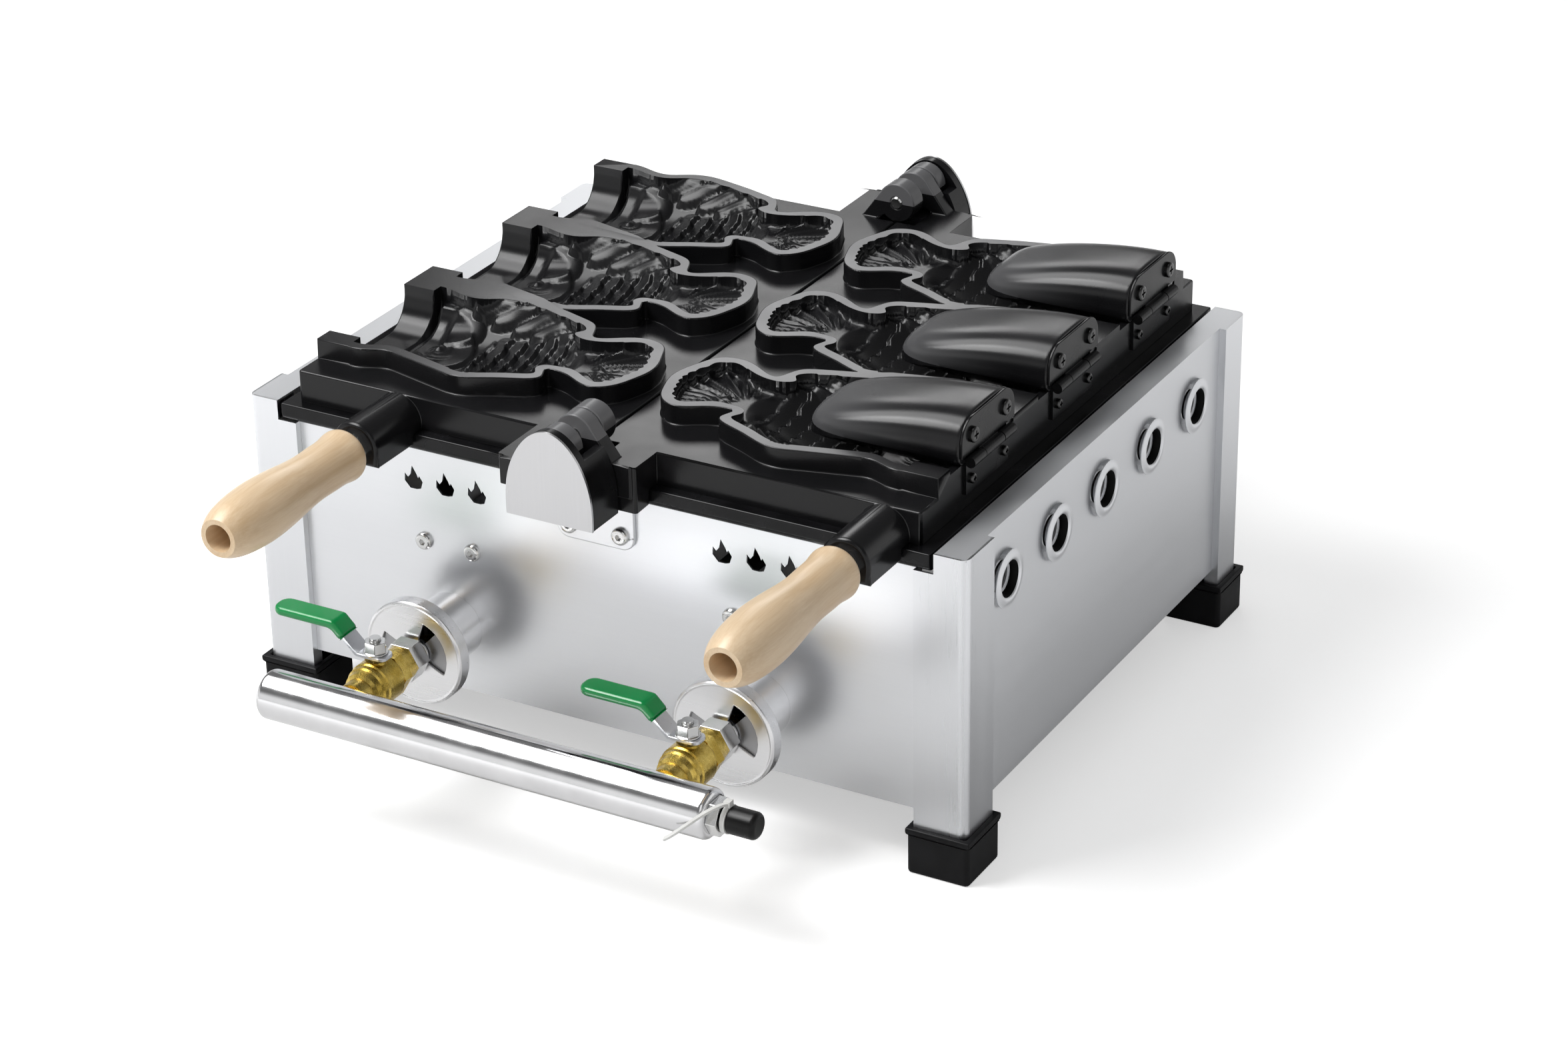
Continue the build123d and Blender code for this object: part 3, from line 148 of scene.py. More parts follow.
def sheet_metal(name, dark, light, roughness, grain_axis, fine=900.0, metallic=1.0):
    """Rolled sheet: fine streaks along one axis and soft changes of gloss."""
    finish, tree, shader = new_finish(name)
    mapping = tree.nodes.new("ShaderNodeMapping")
    scale = [fine, fine, fine]
    scale["xyz".index(grain_axis)] = fine * GRAIN_STRETCH
    mapping.inputs["Scale"].default_value = scale
    tree.links.new(place(tree), mapping.inputs["Vector"])
    grain = tree.nodes.new("ShaderNodeGroup")
    grain.node_tree = sheet_grain
    tree.links.new(mapping.outputs["Vector"], grain.inputs["Vector"])
    streaks = math_node(tree, "MULTIPLY", grain.outputs["Grain"], GRAIN_SHARE)
    smears = math_node(tree, "MULTIPLY", grain.outputs["Smears"], 1 - GRAIN_SHARE)
    tone = math_node(tree, "ADD", streaks, smears)
    tree.links.new(mix_colour(tree, tone, dark, light), shader.inputs["Base Color"])
    rough = map_range(tree, tone, 0.3, 0.7, roughness - 0.05, roughness + 0.06)
    tree.links.new(rough, shader.inputs["Roughness"])
    shader.inputs["Metallic"].default_value = metallic
    bump(tree, shader, grain.outputs["Grain"], 0.06, GRAIN_DEPTH)
    return finish


def dress(finish, *names):
    """Gives CAD nodes their finish."""
    for name in names:
        nodes[name].data.materials.clear()
        nodes[name].data.materials.append(finish)


WELD_REACH = 1e-6
FLAT_ANGLE = math.radians(0.6)
FOLD_ANGLE = math.radians(38.0)


def ease(width, *names, segments=2):
    """Welds a CAD node's loose triangles and takes the knife edge off its folds."""
    for name in names:
        piece = nodes[name]
        piece.modifiers.new("weld", "WELD").merge_threshold = WELD_REACH
        flat = piece.modifiers.new("flat", "DECIMATE")
        flat.decimate_type = "DISSOLVE"
        flat.angle_limit = FLAT_ANGLE
        edge = piece.modifiers.new("edge", "BEVEL")
        edge.width = width
        edge.segments = segments
        edge.limit_method = "ANGLE"
        edge.angle_limit = FOLD_ANGLE
        edge.use_clamp_overlap = False
        edge.miter_outer = "MITER_ARC"
        normals = piece.modifiers.new("normals", "WEIGHTED_NORMAL")
        normals.keep_sharp = False
        normals.weight = 80


post_steel = sheet_metal("post_steel", (0.66, 0.67, 0.69), (0.76, 0.77, 0.79), 0.30, "z")
dress(post_steel, "front_posts", "rear_posts")


# ------------------------------------------------------------------ panels
# Front panel with flame cut-outs, plain rear panel, and side panels with five
# vents each. Sheet set back behind the posts; its grain runs level.
panel_steel = sheet_metal("panel_steel", (0.68, 0.69, 0.71), (0.78, 0.79, 0.81), 0.33, "x")
side_steel = sheet_metal("side_steel", (0.67, 0.68, 0.70), (0.77, 0.78, 0.80), 0.40, "y", metallic=0.85)
dress(panel_steel, "front_panel", "rear_panel")
dress(side_steel, "side_panel_left", "side_panel_right")


# ------------------------------------------------------------------ foot caps
# Moulded rubber caps pushed over the foot of each post, with a raised lip.
def moulded(name, dark, light, roughness, scale=260.0, depth=0.00006, spec=0.5):
    """Moulded or sprayed skin: fine orange peel with soft changes of tone."""
    finish, tree, shader = new_finish(name)
    spot = place(tree)
    fine = noise_node(tree, spot, scale * 4, 4.0, 0.6)
    soft = noise_node(tree, spot, scale * 0.15, 3.0, 0.5)
    tone = mix_colour(tree, map_range(tree, soft, 0.35, 0.65), dark, light)
    rough = map_range(tree, soft, 0.3, 0.7, roughness - 0.05, roughness + 0.05)
    tree.links.new(tone, shader.inputs["Base Color"])
    tree.links.new(rough, shader.inputs["Roughness"])
    shader.inputs["Specular IOR Level"].default_value = spec
    bump(tree, shader, fine, 0.4, depth)
    return finish


foot_rubber = moulded("foot_rubber", (0.004, 0.004, 0.0045), (0.008, 0.008, 0.009), 0.42, spec=0.15)
dress(foot_rubber, "foot_caps")
ease(0.0008, "foot_caps")


# ------------------------------------------------------------------ vents
# Each side vent is pressed outward into a low round bead; its throat is painted black,
# painted shade standing in for the dark inside of the stand.
MM = 0.001
VENT_FIRST = -70.15
VENT_PITCH = 62.6
VENT_ROWS = [VENT_FIRST + VENT_PITCH * i for i in range(5)]
VENT_Z = 164.9
PANEL_FACE = 232.25
BEAD_STEPS = 56
PAINTED_SHADE_RADIUS = 10.85           # radius within which the bead's skin is painted black as painted shade
# radius and height over the panel's face, from the foot over the crest to the throat
BEAD = ((16.9, -0.5), (16.9, 0.02), (16.0, 0.07), (15.1, 0.26), (14.2, 0.58), (13.3, 0.86), (12.5, 0.96),
        (11.8, 0.84), (11.1, 0.38), (10.8, -0.1), (9.1, -2.6), (9.1, -4.6), (9.9, -4.6), (11.6, -0.5))
throat_painted_shade = moulded("throat_painted_shade", (0.002, 0.002, 0.002), (0.005, 0.005, 0.005), 0.6, spec=0.1)


def new_piece(bm, name, body, slot, sharp, *finishes):
    """Object made of a bmesh, smooth but for its sharp edges, that rides a body."""
    bmesh.ops.recalc_face_normals(bm, faces=bm.faces)
    mesh = bpy.data.meshes.new(name)
    bm.to_mesh(mesh)
    bm.free()
    mesh.shade_smooth()
    mesh.set_sharp_from_angle(angle=math.radians(sharp))
    piece = bpy.data.objects.new(name, mesh)
    bpy.context.scene.collection.objects.link(piece)
    for finish in finishes:
        mesh.materials.append(finish)
    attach(piece, body)
    return piece


def vent_beads(name, side):
    """Bead pressed up round each side vent; its throat is painted black as painted shade of the stand's
    inside.
    """
    bm = bmesh.new()
    for y in VENT_ROWS:
        ring = [bm.verts.new((side * (PANEL_FACE + h) * MM, y * MM, (VENT_Z + r) * MM)) for r, h in BEAD]
        edges = [bm.edges.new(pair) for pair in zip(ring, ring[1:] + ring[:1])]
        bmesh.ops.spin(bm, geom=ring + edges, cent=(0, y * MM, VENT_Z * MM), axis=(1, 0, 0),
                       angle=math.tau, steps=BEAD_STEPS, use_merge=True)
    for f in bm.faces:
        middle = f.calc_center_median().y / MM
        y = min(VENT_ROWS, key=lambda row: abs(middle - row))
        reach = max(math.hypot(v.co.y / MM - y, v.co.z / MM - VENT_Z) for v in f.verts)
        # faces inside the throat take the black painted shade
        f.material_index = 1 if reach < PAINTED_SHADE_RADIUS else 0
    new_piece(bm, name, "body", "stainless", 60, side_steel, throat_painted_shade)


vent_beads("vent_beads_left", -1)
vent_beads("vent_beads_right", 1)


# ------------------------------------------------------------------ base frame
# Black ring that the castings rest on, over the top edge of the panels.
frame_black = moulded("frame_black", (0.004, 0.004, 0.0045), (0.009, 0.009, 0.010), 0.24, spec=0.2)
dress(frame_black, "base_frame")
ease(0.0008, "base_frame")


# ------------------------------------------------------------------ heat shields
# Inner sheets behind the side vents, in a darker grey steel: painted shade of the stand's inside.
shield_steel = sheet_metal("shield_steel", (0.30, 0.29, 0.28), (0.46, 0.45, 0.43), 0.45, "y")
dress(shield_steel, "heat_shields")


# ------------------------------------------------------------------ burners
# Cast-iron twin-tube burners on folded brackets, with polished mixer bells.
burner_iron = moulded("burner_iron", (0.035, 0.032, 0.030), (0.075, 0.068, 0.062), 0.62, 180.0, 0.0004)
dress(burner_iron, "burner_left", "burner_right")
bracket_sheet = sheet_metal("bracket_sheet", (0.38, 0.38, 0.38), (0.52, 0.52, 0.52), 0.42, "y")
dress(bracket_sheet, "burner_brackets")


def polished(name, dark, light, roughness=0.10):
    """Plated or polished metal: bright, with hairlines and a faint haze."""
    finish, tree, shader = new_finish(name)
    spot = place(tree)
    haze = noise_node(tree, spot, 45.0, 3.0, 0.55)
    lines = noise_node(tree, spot, 1500.0, 2.0, 0.5, (1.0, 0.15, 1.0))
    tree.links.new(mix_colour(tree, haze, dark, light), shader.inputs["Base Color"])
    tree.links.new(map_range(tree, haze, 0.3, 0.7, roughness, roughness + 0.08), shader.inputs["Roughness"])
    shader.inputs["Metallic"].default_value = 1.0
    bump(tree, shader, lines, 0.15, 0.00002)
    return finish


bell_chrome = polished("bell_chrome", (0.70, 0.70, 0.71), (0.84, 0.84, 0.85), 0.07)
dress(bell_chrome, "burner_bells")


# ------------------------------------------------------------------ air shutters
# Dished discs that turn over a fixed plate to set the burner's air.
disc_steel = sheet_metal("disc_steel", (0.66, 0.66, 0.67), (0.82, 0.82, 0.83), 0.26, "x", 700.0)
plate_grey = sheet_metal("plate_grey", (0.30, 0.30, 0.31), (0.42, 0.42, 0.43), 0.40, "x")
dress(disc_steel, "shutter_disc_left", "shutter_disc_right")
dress(plate_grey, "shutter_plates")
ease(0.0005, "shutter_disc_left", "shutter_disc_right")


# ------------------------------------------------------------------ gas valves
# Quarter-turn ball valves: brass bodies between a hex nut and the manifold,
# with a plated lever in a dipped green grip under a nut.
def cast_brass(name, dark, light):
    """Sand-cast brass, tumbled: grainy and unevenly bright."""
    finish, tree, shader = new_finish(name)
    spot = place(tree)
    fine = noise_node(tree, spot, 1600.0, 4.0, 0.7)
    soft = noise_node(tree, spot, 90.0, 4.0, 0.6)
    tone = mix_colour(tree, map_range(tree, soft, 0.35, 0.65), dark, light)
    tree.links.new(tone, shader.inputs["Base Color"])
    tree.links.new(map_range(tree, fine, 0.3, 0.7, 0.20, 0.34), shader.inputs["Roughness"])
    shader.inputs["Metallic"].default_value = 1.0
    bump(tree, shader, fine, 0.5, 0.00008)
    return finish


valve_brass = cast_brass("valve_brass", (0.48, 0.33, 0.06), (0.70, 0.52, 0.14))
dress(valve_brass, "valve_body_left", "valve_body_right", "gas_spuds")
nut_chrome = polished("nut_chrome", (0.62, 0.62, 0.62), (0.80, 0.80, 0.79), 0.16)
dress(nut_chrome, "valve_nuts", "valve_ball_left", "valve_ball_right", "lever_nut_left",
      "lever_nut_right", "inlet_fitting", "left_handle_stud", "right_handle_stud")
ease(0.0004, "valve_nuts", "lever_nut_left", "lever_nut_right", "inlet_fitting")
lever_plate = sheet_metal("lever_plate", (0.58, 0.59, 0.62), (0.76, 0.77, 0.80), 0.28, "x")
dress(lever_plate, "valve_lever_left", "valve_lever_right")
ease(0.0004, "valve_lever_left", "valve_lever_right")
grip_green = moulded("grip_green", (0.001, 0.20, 0.045), (0.002, 0.27, 0.065), 0.20, 60.0, 0.0002, 0.5)
dress(grip_green, "lever_grip_left", "lever_grip_right")
ease(0.0022, "lever_grip_left", "lever_grip_right", segments=5)


# ------------------------------------------------------------------ manifold
# Polished steel tube across both valves, with its barbed inlet, a rubber cap
# and the cable tie that keeps the cap.
tube_steel = polished("tube_steel", (0.60, 0.60, 0.61), (0.78, 0.78, 0.79), 0.09)
dress(tube_steel, "manifold")
barb_black = moulded("barb_black", (0.010, 0.010, 0.011), (0.020, 0.020, 0.021), 0.30)
cap_rubber = moulded("cap_rubber", (0.004, 0.004, 0.004), (0.008, 0.008, 0.008), 0.32, spec=0.2)
tie_nylon = moulded("tie_nylon", (0.74, 0.74, 0.72), (0.84, 0.84, 0.82), 0.40)
dress(barb_black, "inlet_barb")
dress(cap_rubber, "inlet_cap")
dress(tie_nylon, "cap_tie")


# ------------------------------------------------------------------ fasteners
# Button-head screws through the panels and brackets, all plated.
screw_plate = polished("screw_plate", (0.50, 0.50, 0.50), (0.72, 0.72, 0.71), 0.16)
dress(screw_plate, "panel_screws", "bracket_screws")


# ------------------------------------------------------------------ centre hinges
# Stainless brackets and arched covers on black knuckle blocks; one steel pin
# through each hinge.
dress(panel_steel, "hinge_brackets")
ease(0.0008, "hinge_brackets")
cover_steel = sheet_metal("cover_steel", (0.46, 0.46, 0.47), (0.60, 0.60, 0.61), 0.30, "z")
dress(cover_steel, "hinge_cover_front", "hinge_cover_rear")
dress(frame_black, "hinge_block_front", "hinge_block_rear")
dress(screw_plate, "hinge_pins")


# ------------------------------------------------------------------ castings
# Two aluminium castings in a black non-stick coat. Each carries three half
# fishes: hollow bodies with scales, fin and tail rays, behind a milled rim.
PARTING = 230.5
RIM_TOP = 230.35
OUTER = 202.4            # outer face of each half
FISH_ROWS = (-42.1, 65.9, 173.9)
CELL = 1.15              # size of the cells that a hollow is cut into
WALL_FILLET = 2.4
LEAST_DEPTH = 0.8
CORNER = 0.7             # rounding of the corners outside the hollows
SHORT = 0.3              # edges shorter than this stay as they are


def smooth(a, b, t):
    """Eased step from 0 at a to 1 at b."""
    t = np.clip((t - a) / (b - a), 0, 1)
    return t * t * (3 - 2 * t)


TUNNEL_W = -3.0          # middle of the mouth's tunnel
TUNNEL_CORNER = 22.0


def tunnel_depth(w, half, depth):
    """Depth of a round-cornered tunnel across its width."""
    x = np.abs(w - TUNNEL_W)
    side = np.clip(x - (half - TUNNEL_CORNER), 0, TUNNEL_CORNER)
    rise = TUNNEL_CORNER - np.sqrt(TUNNEL_CORNER ** 2 - side ** 2)
    return np.where(x < half + 0.01, depth - rise, 0.0)


def lens(u, w, a, b, half, rise):
    """Long rounded rib between two points, thickest in its middle."""
    ax, aw, bx, bw = *a, *b
    length = math.hypot(bx - ax, bw - aw)
    along = ((u - ax) * (bx - ax) + (w - aw) * (bw - aw)) / length ** 2
    off = np.abs((u - ax) * (bw - aw) - (w - aw) * (bx - ax)) / length
    room = half * np.sqrt(np.clip(1 - (2 * np.clip(along, 0, 1) - 1) ** 4, 0, 1))
    inside = (along > 0) & (along < 1) & (off < room)
    return np.where(inside, rise * np.sqrt(np.clip(1 - (off / np.maximum(room, 1e-3)) ** 2, 0, 1)), 0.0)


CORE_INNER = 196.8       # where the tongue leaves the end block
CORE_LENGTH = 96.5
CORE_HALF = 33.0
CORE_TOP = 24.2
CORE_GAP = 0.6           # least room over a closed core
NOSE_FROM = 0.83         # share of the length where the nose starts
CORE_SQUARE = 0.56       # powers of the section: upright sides, domed back
CORE_DOME = 0.66


def core_lines(t):
    """Half width, waist, top and nose share of a core, t from root 0 to tip 1."""
    nose = 1 - np.sqrt(1 - np.clip((t - NOSE_FROM) / (1 - NOSE_FROM), 0, 1) ** 2.4)
    half = CORE_HALF * np.sqrt(1 - t ** 8.5)
    waist = -8.3 * t ** 4.5
    up = CORE_TOP - 17.3 * t ** 1.7 - 15.2 * nose
    return half, waist, up, nose


def core_cover(u, w):
    """Depth that clears the mouth core, where one lies under the hollow."""
    t = np.clip((CORE_INNER - u) / CORE_LENGTH, 0, 1)
    half, waist, up, _ = core_lines(t)
    across = np.clip(np.abs(w) / np.maximum(half, 1e-6), 0, 1) ** (1 / CORE_SQUARE)
    cover = waist + (up - waist) * np.sqrt(1 - across ** 2) ** CORE_DOME + CORE_GAP
    return np.where((t < 1) & (np.abs(w) < half), cover, 0)


SCALE_START = (76.0, -2.0)
SCALE_PITCH = (10.6, 12.4)
SCALE_R = 8.6


def scale_rise(u, w):
    """Overlapping scales, each highest at its crisp tailward edge."""
    rise = np.zeros_like(u)
    for i in range(7):
        for k in range(-4, 4):
            cu = SCALE_START[0] + SCALE_PITCH[0] * i
            cw = SCALE_START[1] + SCALE_PITCH[1] * (k + 0.5 * (i % 2))
            r = np.hypot(u - cu, (w - cw) * 0.95) / SCALE_R
            t = np.clip((cu - u) / SCALE_R, -1, 1)
            plate = (1.0 + 2.9 * t) * (1 - smooth(0.90, 1.0, r))
            rise = np.maximum(rise, np.where(r < 1, plate, 0))
    return rise


# ribs of the fin: both ends (u, w) and half width
FIN_RIBS = ((153, 35.0, 127, 46.5, 4.3), (139.5, 34.0, 112.5, 45.6, 4.6),
            (124.5, 32.0, 95, 42.6, 4.5), (110.5, 30.4, 84, 38.5, 4.0), (98, 27.7, 79, 31.5, 3.2))
TAIL_ROOT = (56, -4)     # where the rays of the tail meet
TAIL_RAYS = (-36, -27, -18, -10, -2, 5, 14.4, 27, 43.5, 60, 80)  # degrees
BODY_MIDDLE = (130, -2)
BODY_RADII = (75, 45, 26)
GILL = (163, 4, 26)      # centre and radius
CHEEK = (155.5, 26, 13)
EYE = (160.5, 8)
GROOVE_U = 175.5         # groove behind the mouth
MOUTH_U = 181.0          # start of the mouth's tunnel
ARCH_HALF = 38.49        # half width of the arch in the end face
SILL_U = 197.4
SILL_DEPTH = 4.0


def tail_band(u, w):
    """Angle and reach from the tail's root, and the share of the way between two rays."""
    turn = np.degrees(np.arctan2(w - TAIL_ROOT[1], TAIL_ROOT[0] - u))
    reach = np.hypot(u - TAIL_ROOT[0], w - TAIL_ROOT[1])
    return turn, reach, np.mod(np.interp(turn, TAIL_RAYS, range(len(TAIL_RAYS))), 1)


def hollow(u, w, sill):
    """Depth below the parting plane all over a half fish."""
    along, across = (u - BODY_MIDDLE[0]) / BODY_RADII[0], (w - BODY_MIDDLE[1]) / BODY_RADII[1]
    body = BODY_RADII[2] * np.sqrt(np.clip(1 - along ** 2 - across ** 2, 0, 1))
    shallow = 9.0 - 4.0 * smooth(33, 46, w) * smooth(74, 90, u) * (1 - smooth(132, 150, u))
    gap = np.clip(1 - np.abs(body - shallow) / 4.0, 0, 1)
    depth = np.maximum(body, shallow) + gap * gap
    throat = tunnel_depth(w, 38.0, 25.5) * smooth(146, 166, u)
    depth = np.where(u < GROOVE_U, np.maximum(depth, throat), depth)
    # scales over the flank, short of the head, the fin and the tail root
    flank = smooth(66, 74, u) * (1 - smooth(133, 139, u + 0.25 * np.abs(w - 6)))
    depth -= scale_rise(u, w) * flank * (1 - smooth(25, 31, w))
    # gill cover and cheek, with crisp rear edges
    gill = np.hypot(u - GILL[0], w - GILL[1]) / GILL[2]
    depth -= 1.9 * (1 - smooth(0.95, 1.0, gill)) * smooth(0.1, 0.95, gill) * (1 - smooth(150, 168, u))
    cheek = np.hypot((u - CHEEK[0]) / 1.1, w - CHEEK[1]) / CHEEK[2]
    depth -= 3.4 * np.sqrt(np.clip(1 - cheek ** 2, 0, 1)) * (1 - smooth(161, 171, u))
    # eye: a ball in two soft rings
    eye = np.hypot(u - EYE[0], (w - EYE[1]) * 1.1)
    depth -= 1.6 * np.exp(-(eye / 2.8) ** 2) + 0.8 * np.exp(-((eye - 6.6) / 1.2) ** 2)
    depth -= 0.8 * np.exp(-((eye - 11.0) / 1.3) ** 2) * smooth(9, -3, w)
    # ribs of the fin
    fin = np.zeros_like(u)
    for a, b, c, d, half in FIN_RIBS:
        fin = np.maximum(fin, lens(u, w, (a, b), (c, d), half, half * 0.9))
    depth -= fin
    # rays of the tail: narrow crests between hollow bands
    turn, reach, band = tail_band(u, w)
    crest = np.abs(2 * band - 1) ** 2.4 * np.where(turn > 0, 3.0, 2.2)
    depth -= crest * smooth(6, 17, reach) * (1 - smooth(50, 58, u)) * (np.abs(turn) < 79)
    # groove behind the mouth, then the mouth's tunnel
    depth = np.where(u >= GROOVE_U, tunnel_depth(w, 45.6, 27.0), depth)
    depth = np.where(u >= MOUTH_U, tunnel_depth(w, 38.5, 26.0), depth)
    if sill:
        return np.where(u >= SILL_U, SILL_DEPTH, depth)
    return np.maximum(depth, core_cover(u, w))


def rim_wave(u, w):
    """How far the inner rim edge steps in: scallops round the fan, steps at the fin."""
    turn, _, band = tail_band(u, w)
    fan = 1.5 * np.abs(2 * band - 1) ** 1.6 * (u < 44) * (turn > -38) * (turn < 60)
    step = np.mod((u - 79) / 14.6, 1)
    fin = 1.5 * (1 - step) * (u > 79) * (u < 137.4) * (w > 30)
    return fan, fin


def slice_up(bm, faces, axis, cuts):
    """Cuts faces by planes square to an axis; returns all that they become."""
    normal = Vector([1.0 if i == axis else 0.0 for i in range(3)])
    done, jobs = [], [(list(faces), list(cuts))]
    while jobs:
        part, planes = jobs.pop()
        if not planes:
            done += part
            continue
        middle = len(planes) // 2
        geom = set(part)
        for f in part:
            geom.update(f.edges)
            geom.update(f.verts)
        out = bmesh.ops.bisect_plane(bm, geom=list(geom), dist=1e-8, plane_co=normal * planes[middle],
                                     plane_no=normal)
        low, high = [], []
        pieces = {g for g in out["geom"] if isinstance(g, bmesh.types.BMFace)}
        for f in pieces | {f for f in part if f.is_valid}:
            (high if f.calc_center_median()[axis] > planes[middle] else low).append(f)
        jobs += [(low, planes[:middle]), (high, planes[middle + 1:])]
    return done


def near_outline(points, line):
    """Distance in plan from each point to a closed line of points."""
    a = line
    b = np.roll(line, -1, axis=0)
    best = np.full(len(points), 1e9)
    for p, q in zip(a, b):
        d = q - p
        n = float(d @ d)
        if n < 1e-12:
            continue
        t = np.clip(((points - p) @ d) / n, 0, 1)
        best = np.minimum(best, np.hypot(*(points - p - t[:, None] * d).T))
    return best


def fine_casting(name, source, side, body, sill):
    """The CAD casting with its three half fishes cut finely."""
    bm = bmesh.new()
    bm.from_mesh(nodes[source].data)
    bmesh.ops.remove_doubles(bm, verts=bm.verts, dist=1e-6)
    mark = bm.faces.layers.int.new("floor")
    soft = bm.edges.layers.float.new("bevel_weight_edge")
    # take out each old hollow, from its floor out to the rim and the mouth
    patch, todo = set(), []
    for row in FISH_ROWS:
        aim = Vector((side * 130, row, 205)) * MM
        todo.append(min(bm.faces, key=lambda f: (f.verts[0].co - aim).length_squared))
    while todo:
        for e in todo.pop().edges:
            for g in e.link_faces:
                if g not in patch:
                    c = g.calc_center_median() / MM
                    if c.z < RIM_TOP - 0.02 and abs(c.x) < OUTER - 0.02:
                        patch.add(g)
                        todo.append(g)
    bmesh.ops.delete(bm, geom=list(patch), context="FACES")
    bmesh.ops.dissolve_limit(bm, angle_limit=math.radians(0.5),
                             verts=[v for v in bm.verts if not v.is_boundary],
                             edges=[e for e in bm.edges if not e.is_boundary])
    # scallop the inner edge of the rim round the tail and at the fin
    long_ones = [e for e in bm.edges if e.is_boundary and e.calc_length() > 1.6 * MM
                 and max(abs(v.co.x) for v in e.verts) < 0.150]
    bmesh.ops.subdivide_edges(bm, edges=long_ones, cuts=2)
    for v in [v for v in bm.verts if v.is_boundary and v.co.z > (RIM_TOP - 0.05) * MM]:
        row = min(FISH_ROWS, key=lambda y: abs(v.co.y / MM - y))
        u, w = v.co.x / MM * side, v.co.y / MM - row
        fan, fin = rim_wave(u, w)
        inward = Vector((TAIL_ROOT[0] - u, TAIL_ROOT[1] - w, 0)).normalized() * float(fan)
        v.co += Vector((side * inward.x, inward.y - float(fin), 0)) * MM
    # lid each opening, drop a floor from it, and cut floor and walls into cells
    lids = bmesh.ops.edgeloop_fill(bm, edges=[e for e in bm.edges if e.is_boundary])["faces"]
    drop = bmesh.ops.extrude_face_region(bm, geom=lids)["geom"]
    dropped = [g for g in drop if isinstance(g, bmesh.types.BMVert)]
    bmesh.ops.translate(bm, verts=dropped, vec=(0, 0, -3 * MM))
    floors = [g for g in drop if isinstance(g, bmesh.types.BMFace)]
    bmesh.ops.delete(bm, geom=[f for f in lids if f.is_valid and f not in floors], context="FACES_ONLY")
    lines, every, fine = [], [], set()
    for f in floors:
        f[mark] = 1
        lines.append(np.array([[v.co.x, v.co.y] for v in f.verts]) / MM)
        every += list({f} | {g for v in f.verts for g in v.link_faces})
    lo, hi = np.min([l.min(0) for l in lines], 0), np.max([l.max(0) for l in lines], 0)
    every = slice_up(bm, every, 0, np.arange(lo[0] + CELL / 2, hi[0] - 0.2, CELL) * MM)
    for line in lines:
        row = min(FISH_ROWS, key=lambda y: abs(line.mean(0)[1] - y))
        own = [f for f in every if f.is_valid and abs(f.calc_center_median().y / MM - row) < 54]
        own = slice_up(bm, own, 1, np.arange(line.min(0)[1] + 0.5, line.max(0)[1] - 0.2, CELL) * MM)
        verts = list({v for f in own if f[mark] for v in f.verts})
        at = np.array([[v.co.x, v.co.y] for v in verts]) / MM
        u, w = at[:, 0] * side, at[:, 1] - row
        depth = hollow(u, w, sill)
        ease_in = np.clip(WALL_FILLET - near_outline(at, line), 0, WALL_FILLET)
        depth -= np.where(u < 174, WALL_FILLET - np.sqrt(WALL_FILLET ** 2 - ease_in ** 2), 0)
        depth = np.maximum(depth, LEAST_DEPTH)
        for v, d in zip(verts, depth):
            v.co.z = (PARTING - d) * MM
        # the mouth's arch, cut in the end face, follows the tunnel
        for v in {v for f in own for v in f.verts}:
            across = v.co.y / MM - row
            at_end = abs(abs(v.co.x) / MM - OUTER) < 0.01 and v.co.z < (RIM_TOP - 0.5) * MM
            if at_end and abs(across - TUNNEL_W) < ARCH_HALF:
                v.co.z = (PARTING - float(hollow(np.array([OUTER]), np.array([across]), sill)[0])) * MM
        bmesh.ops.remove_doubles(bm, verts=list({v for f in own if f.is_valid for v in f.verts}), dist=2e-5)
        fine |= {v for f in own if f.is_valid for v in f.verts}
    # the corners outside the hollows are rounded, short of the deck's own round ends
    for e in bm.edges:
        if len(e.link_faces) == 2 and e.calc_length() > SHORT * MM and fine.isdisjoint(e.verts):
            if e.calc_face_angle() > math.radians(40):
                e[soft] = 1.0
    bm.faces.layers.int.remove(mark)
    piece = new_piece(bm, name, body, "nonstick", 60, coat)
    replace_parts(piece, source)
    edge = piece.modifiers.new("edge", "BEVEL")
    edge.width = CORNER * MM
    edge.segments = 2
    edge.limit_method = "WEIGHT"
    edge.use_clamp_overlap = False
    edge.miter_outer = "MITER_ARC"
    normals = piece.modifiers.new("normals", "WEIGHTED_NORMAL")
    normals.keep_sharp = True
    normals.weight = 60


def coated(name):
    """Sprayed non-stick coat: near black, satin, crumbly close up; the milled
    rims, where the two halves meet, are paler, with a painted sheen that is brightest towards the middle."""
    finish, tree, shader = new_finish(name)
    spot = place(tree)
    split = tree.nodes.new("ShaderNodeSeparateXYZ")
    tree.links.new(spot, split.inputs[0])
    fine = noise_node(tree, spot, 2400.0, 4.0, 0.65)
    crumbs = noise_node(tree, spot, 700.0, 5.0, 0.65)
    soft = noise_node(tree, spot, 18.0, 3.0, 0.5)
    rim = map_range(tree, split.outputs["Z"], 0.23025, 0.23033)
    # painted sheen: the rims' pale tone grows towards the middle and fades towards the outer ends
    reach = math_node(tree, "ABSOLUTE", split.outputs["X"])
    toward = map_range(tree, reach, 0.185, 0.06)
    milled_and_painted_sheen = math_node(tree, "MULTIPLY", rim, toward)
    base = mix_colour(tree, soft, (0.005, 0.005, 0.0055), (0.010, 0.010, 0.011))
    tree.links.new(mix_colour(tree, milled_and_painted_sheen, base, (0.14, 0.14, 0.145)), shader.inputs["Base Color"])
    tree.links.new(map_range(tree, soft, 0.3, 0.7, 0.19, 0.27), shader.inputs["Roughness"])
    shader.inputs["Specular IOR Level"].default_value = 0.27
    height = math_node(tree, "ADD", math_node(tree, "MULTIPLY", fine, 0.3), crumbs)
    bump(tree, shader, height, 0.35, 0.00006)
    return finish


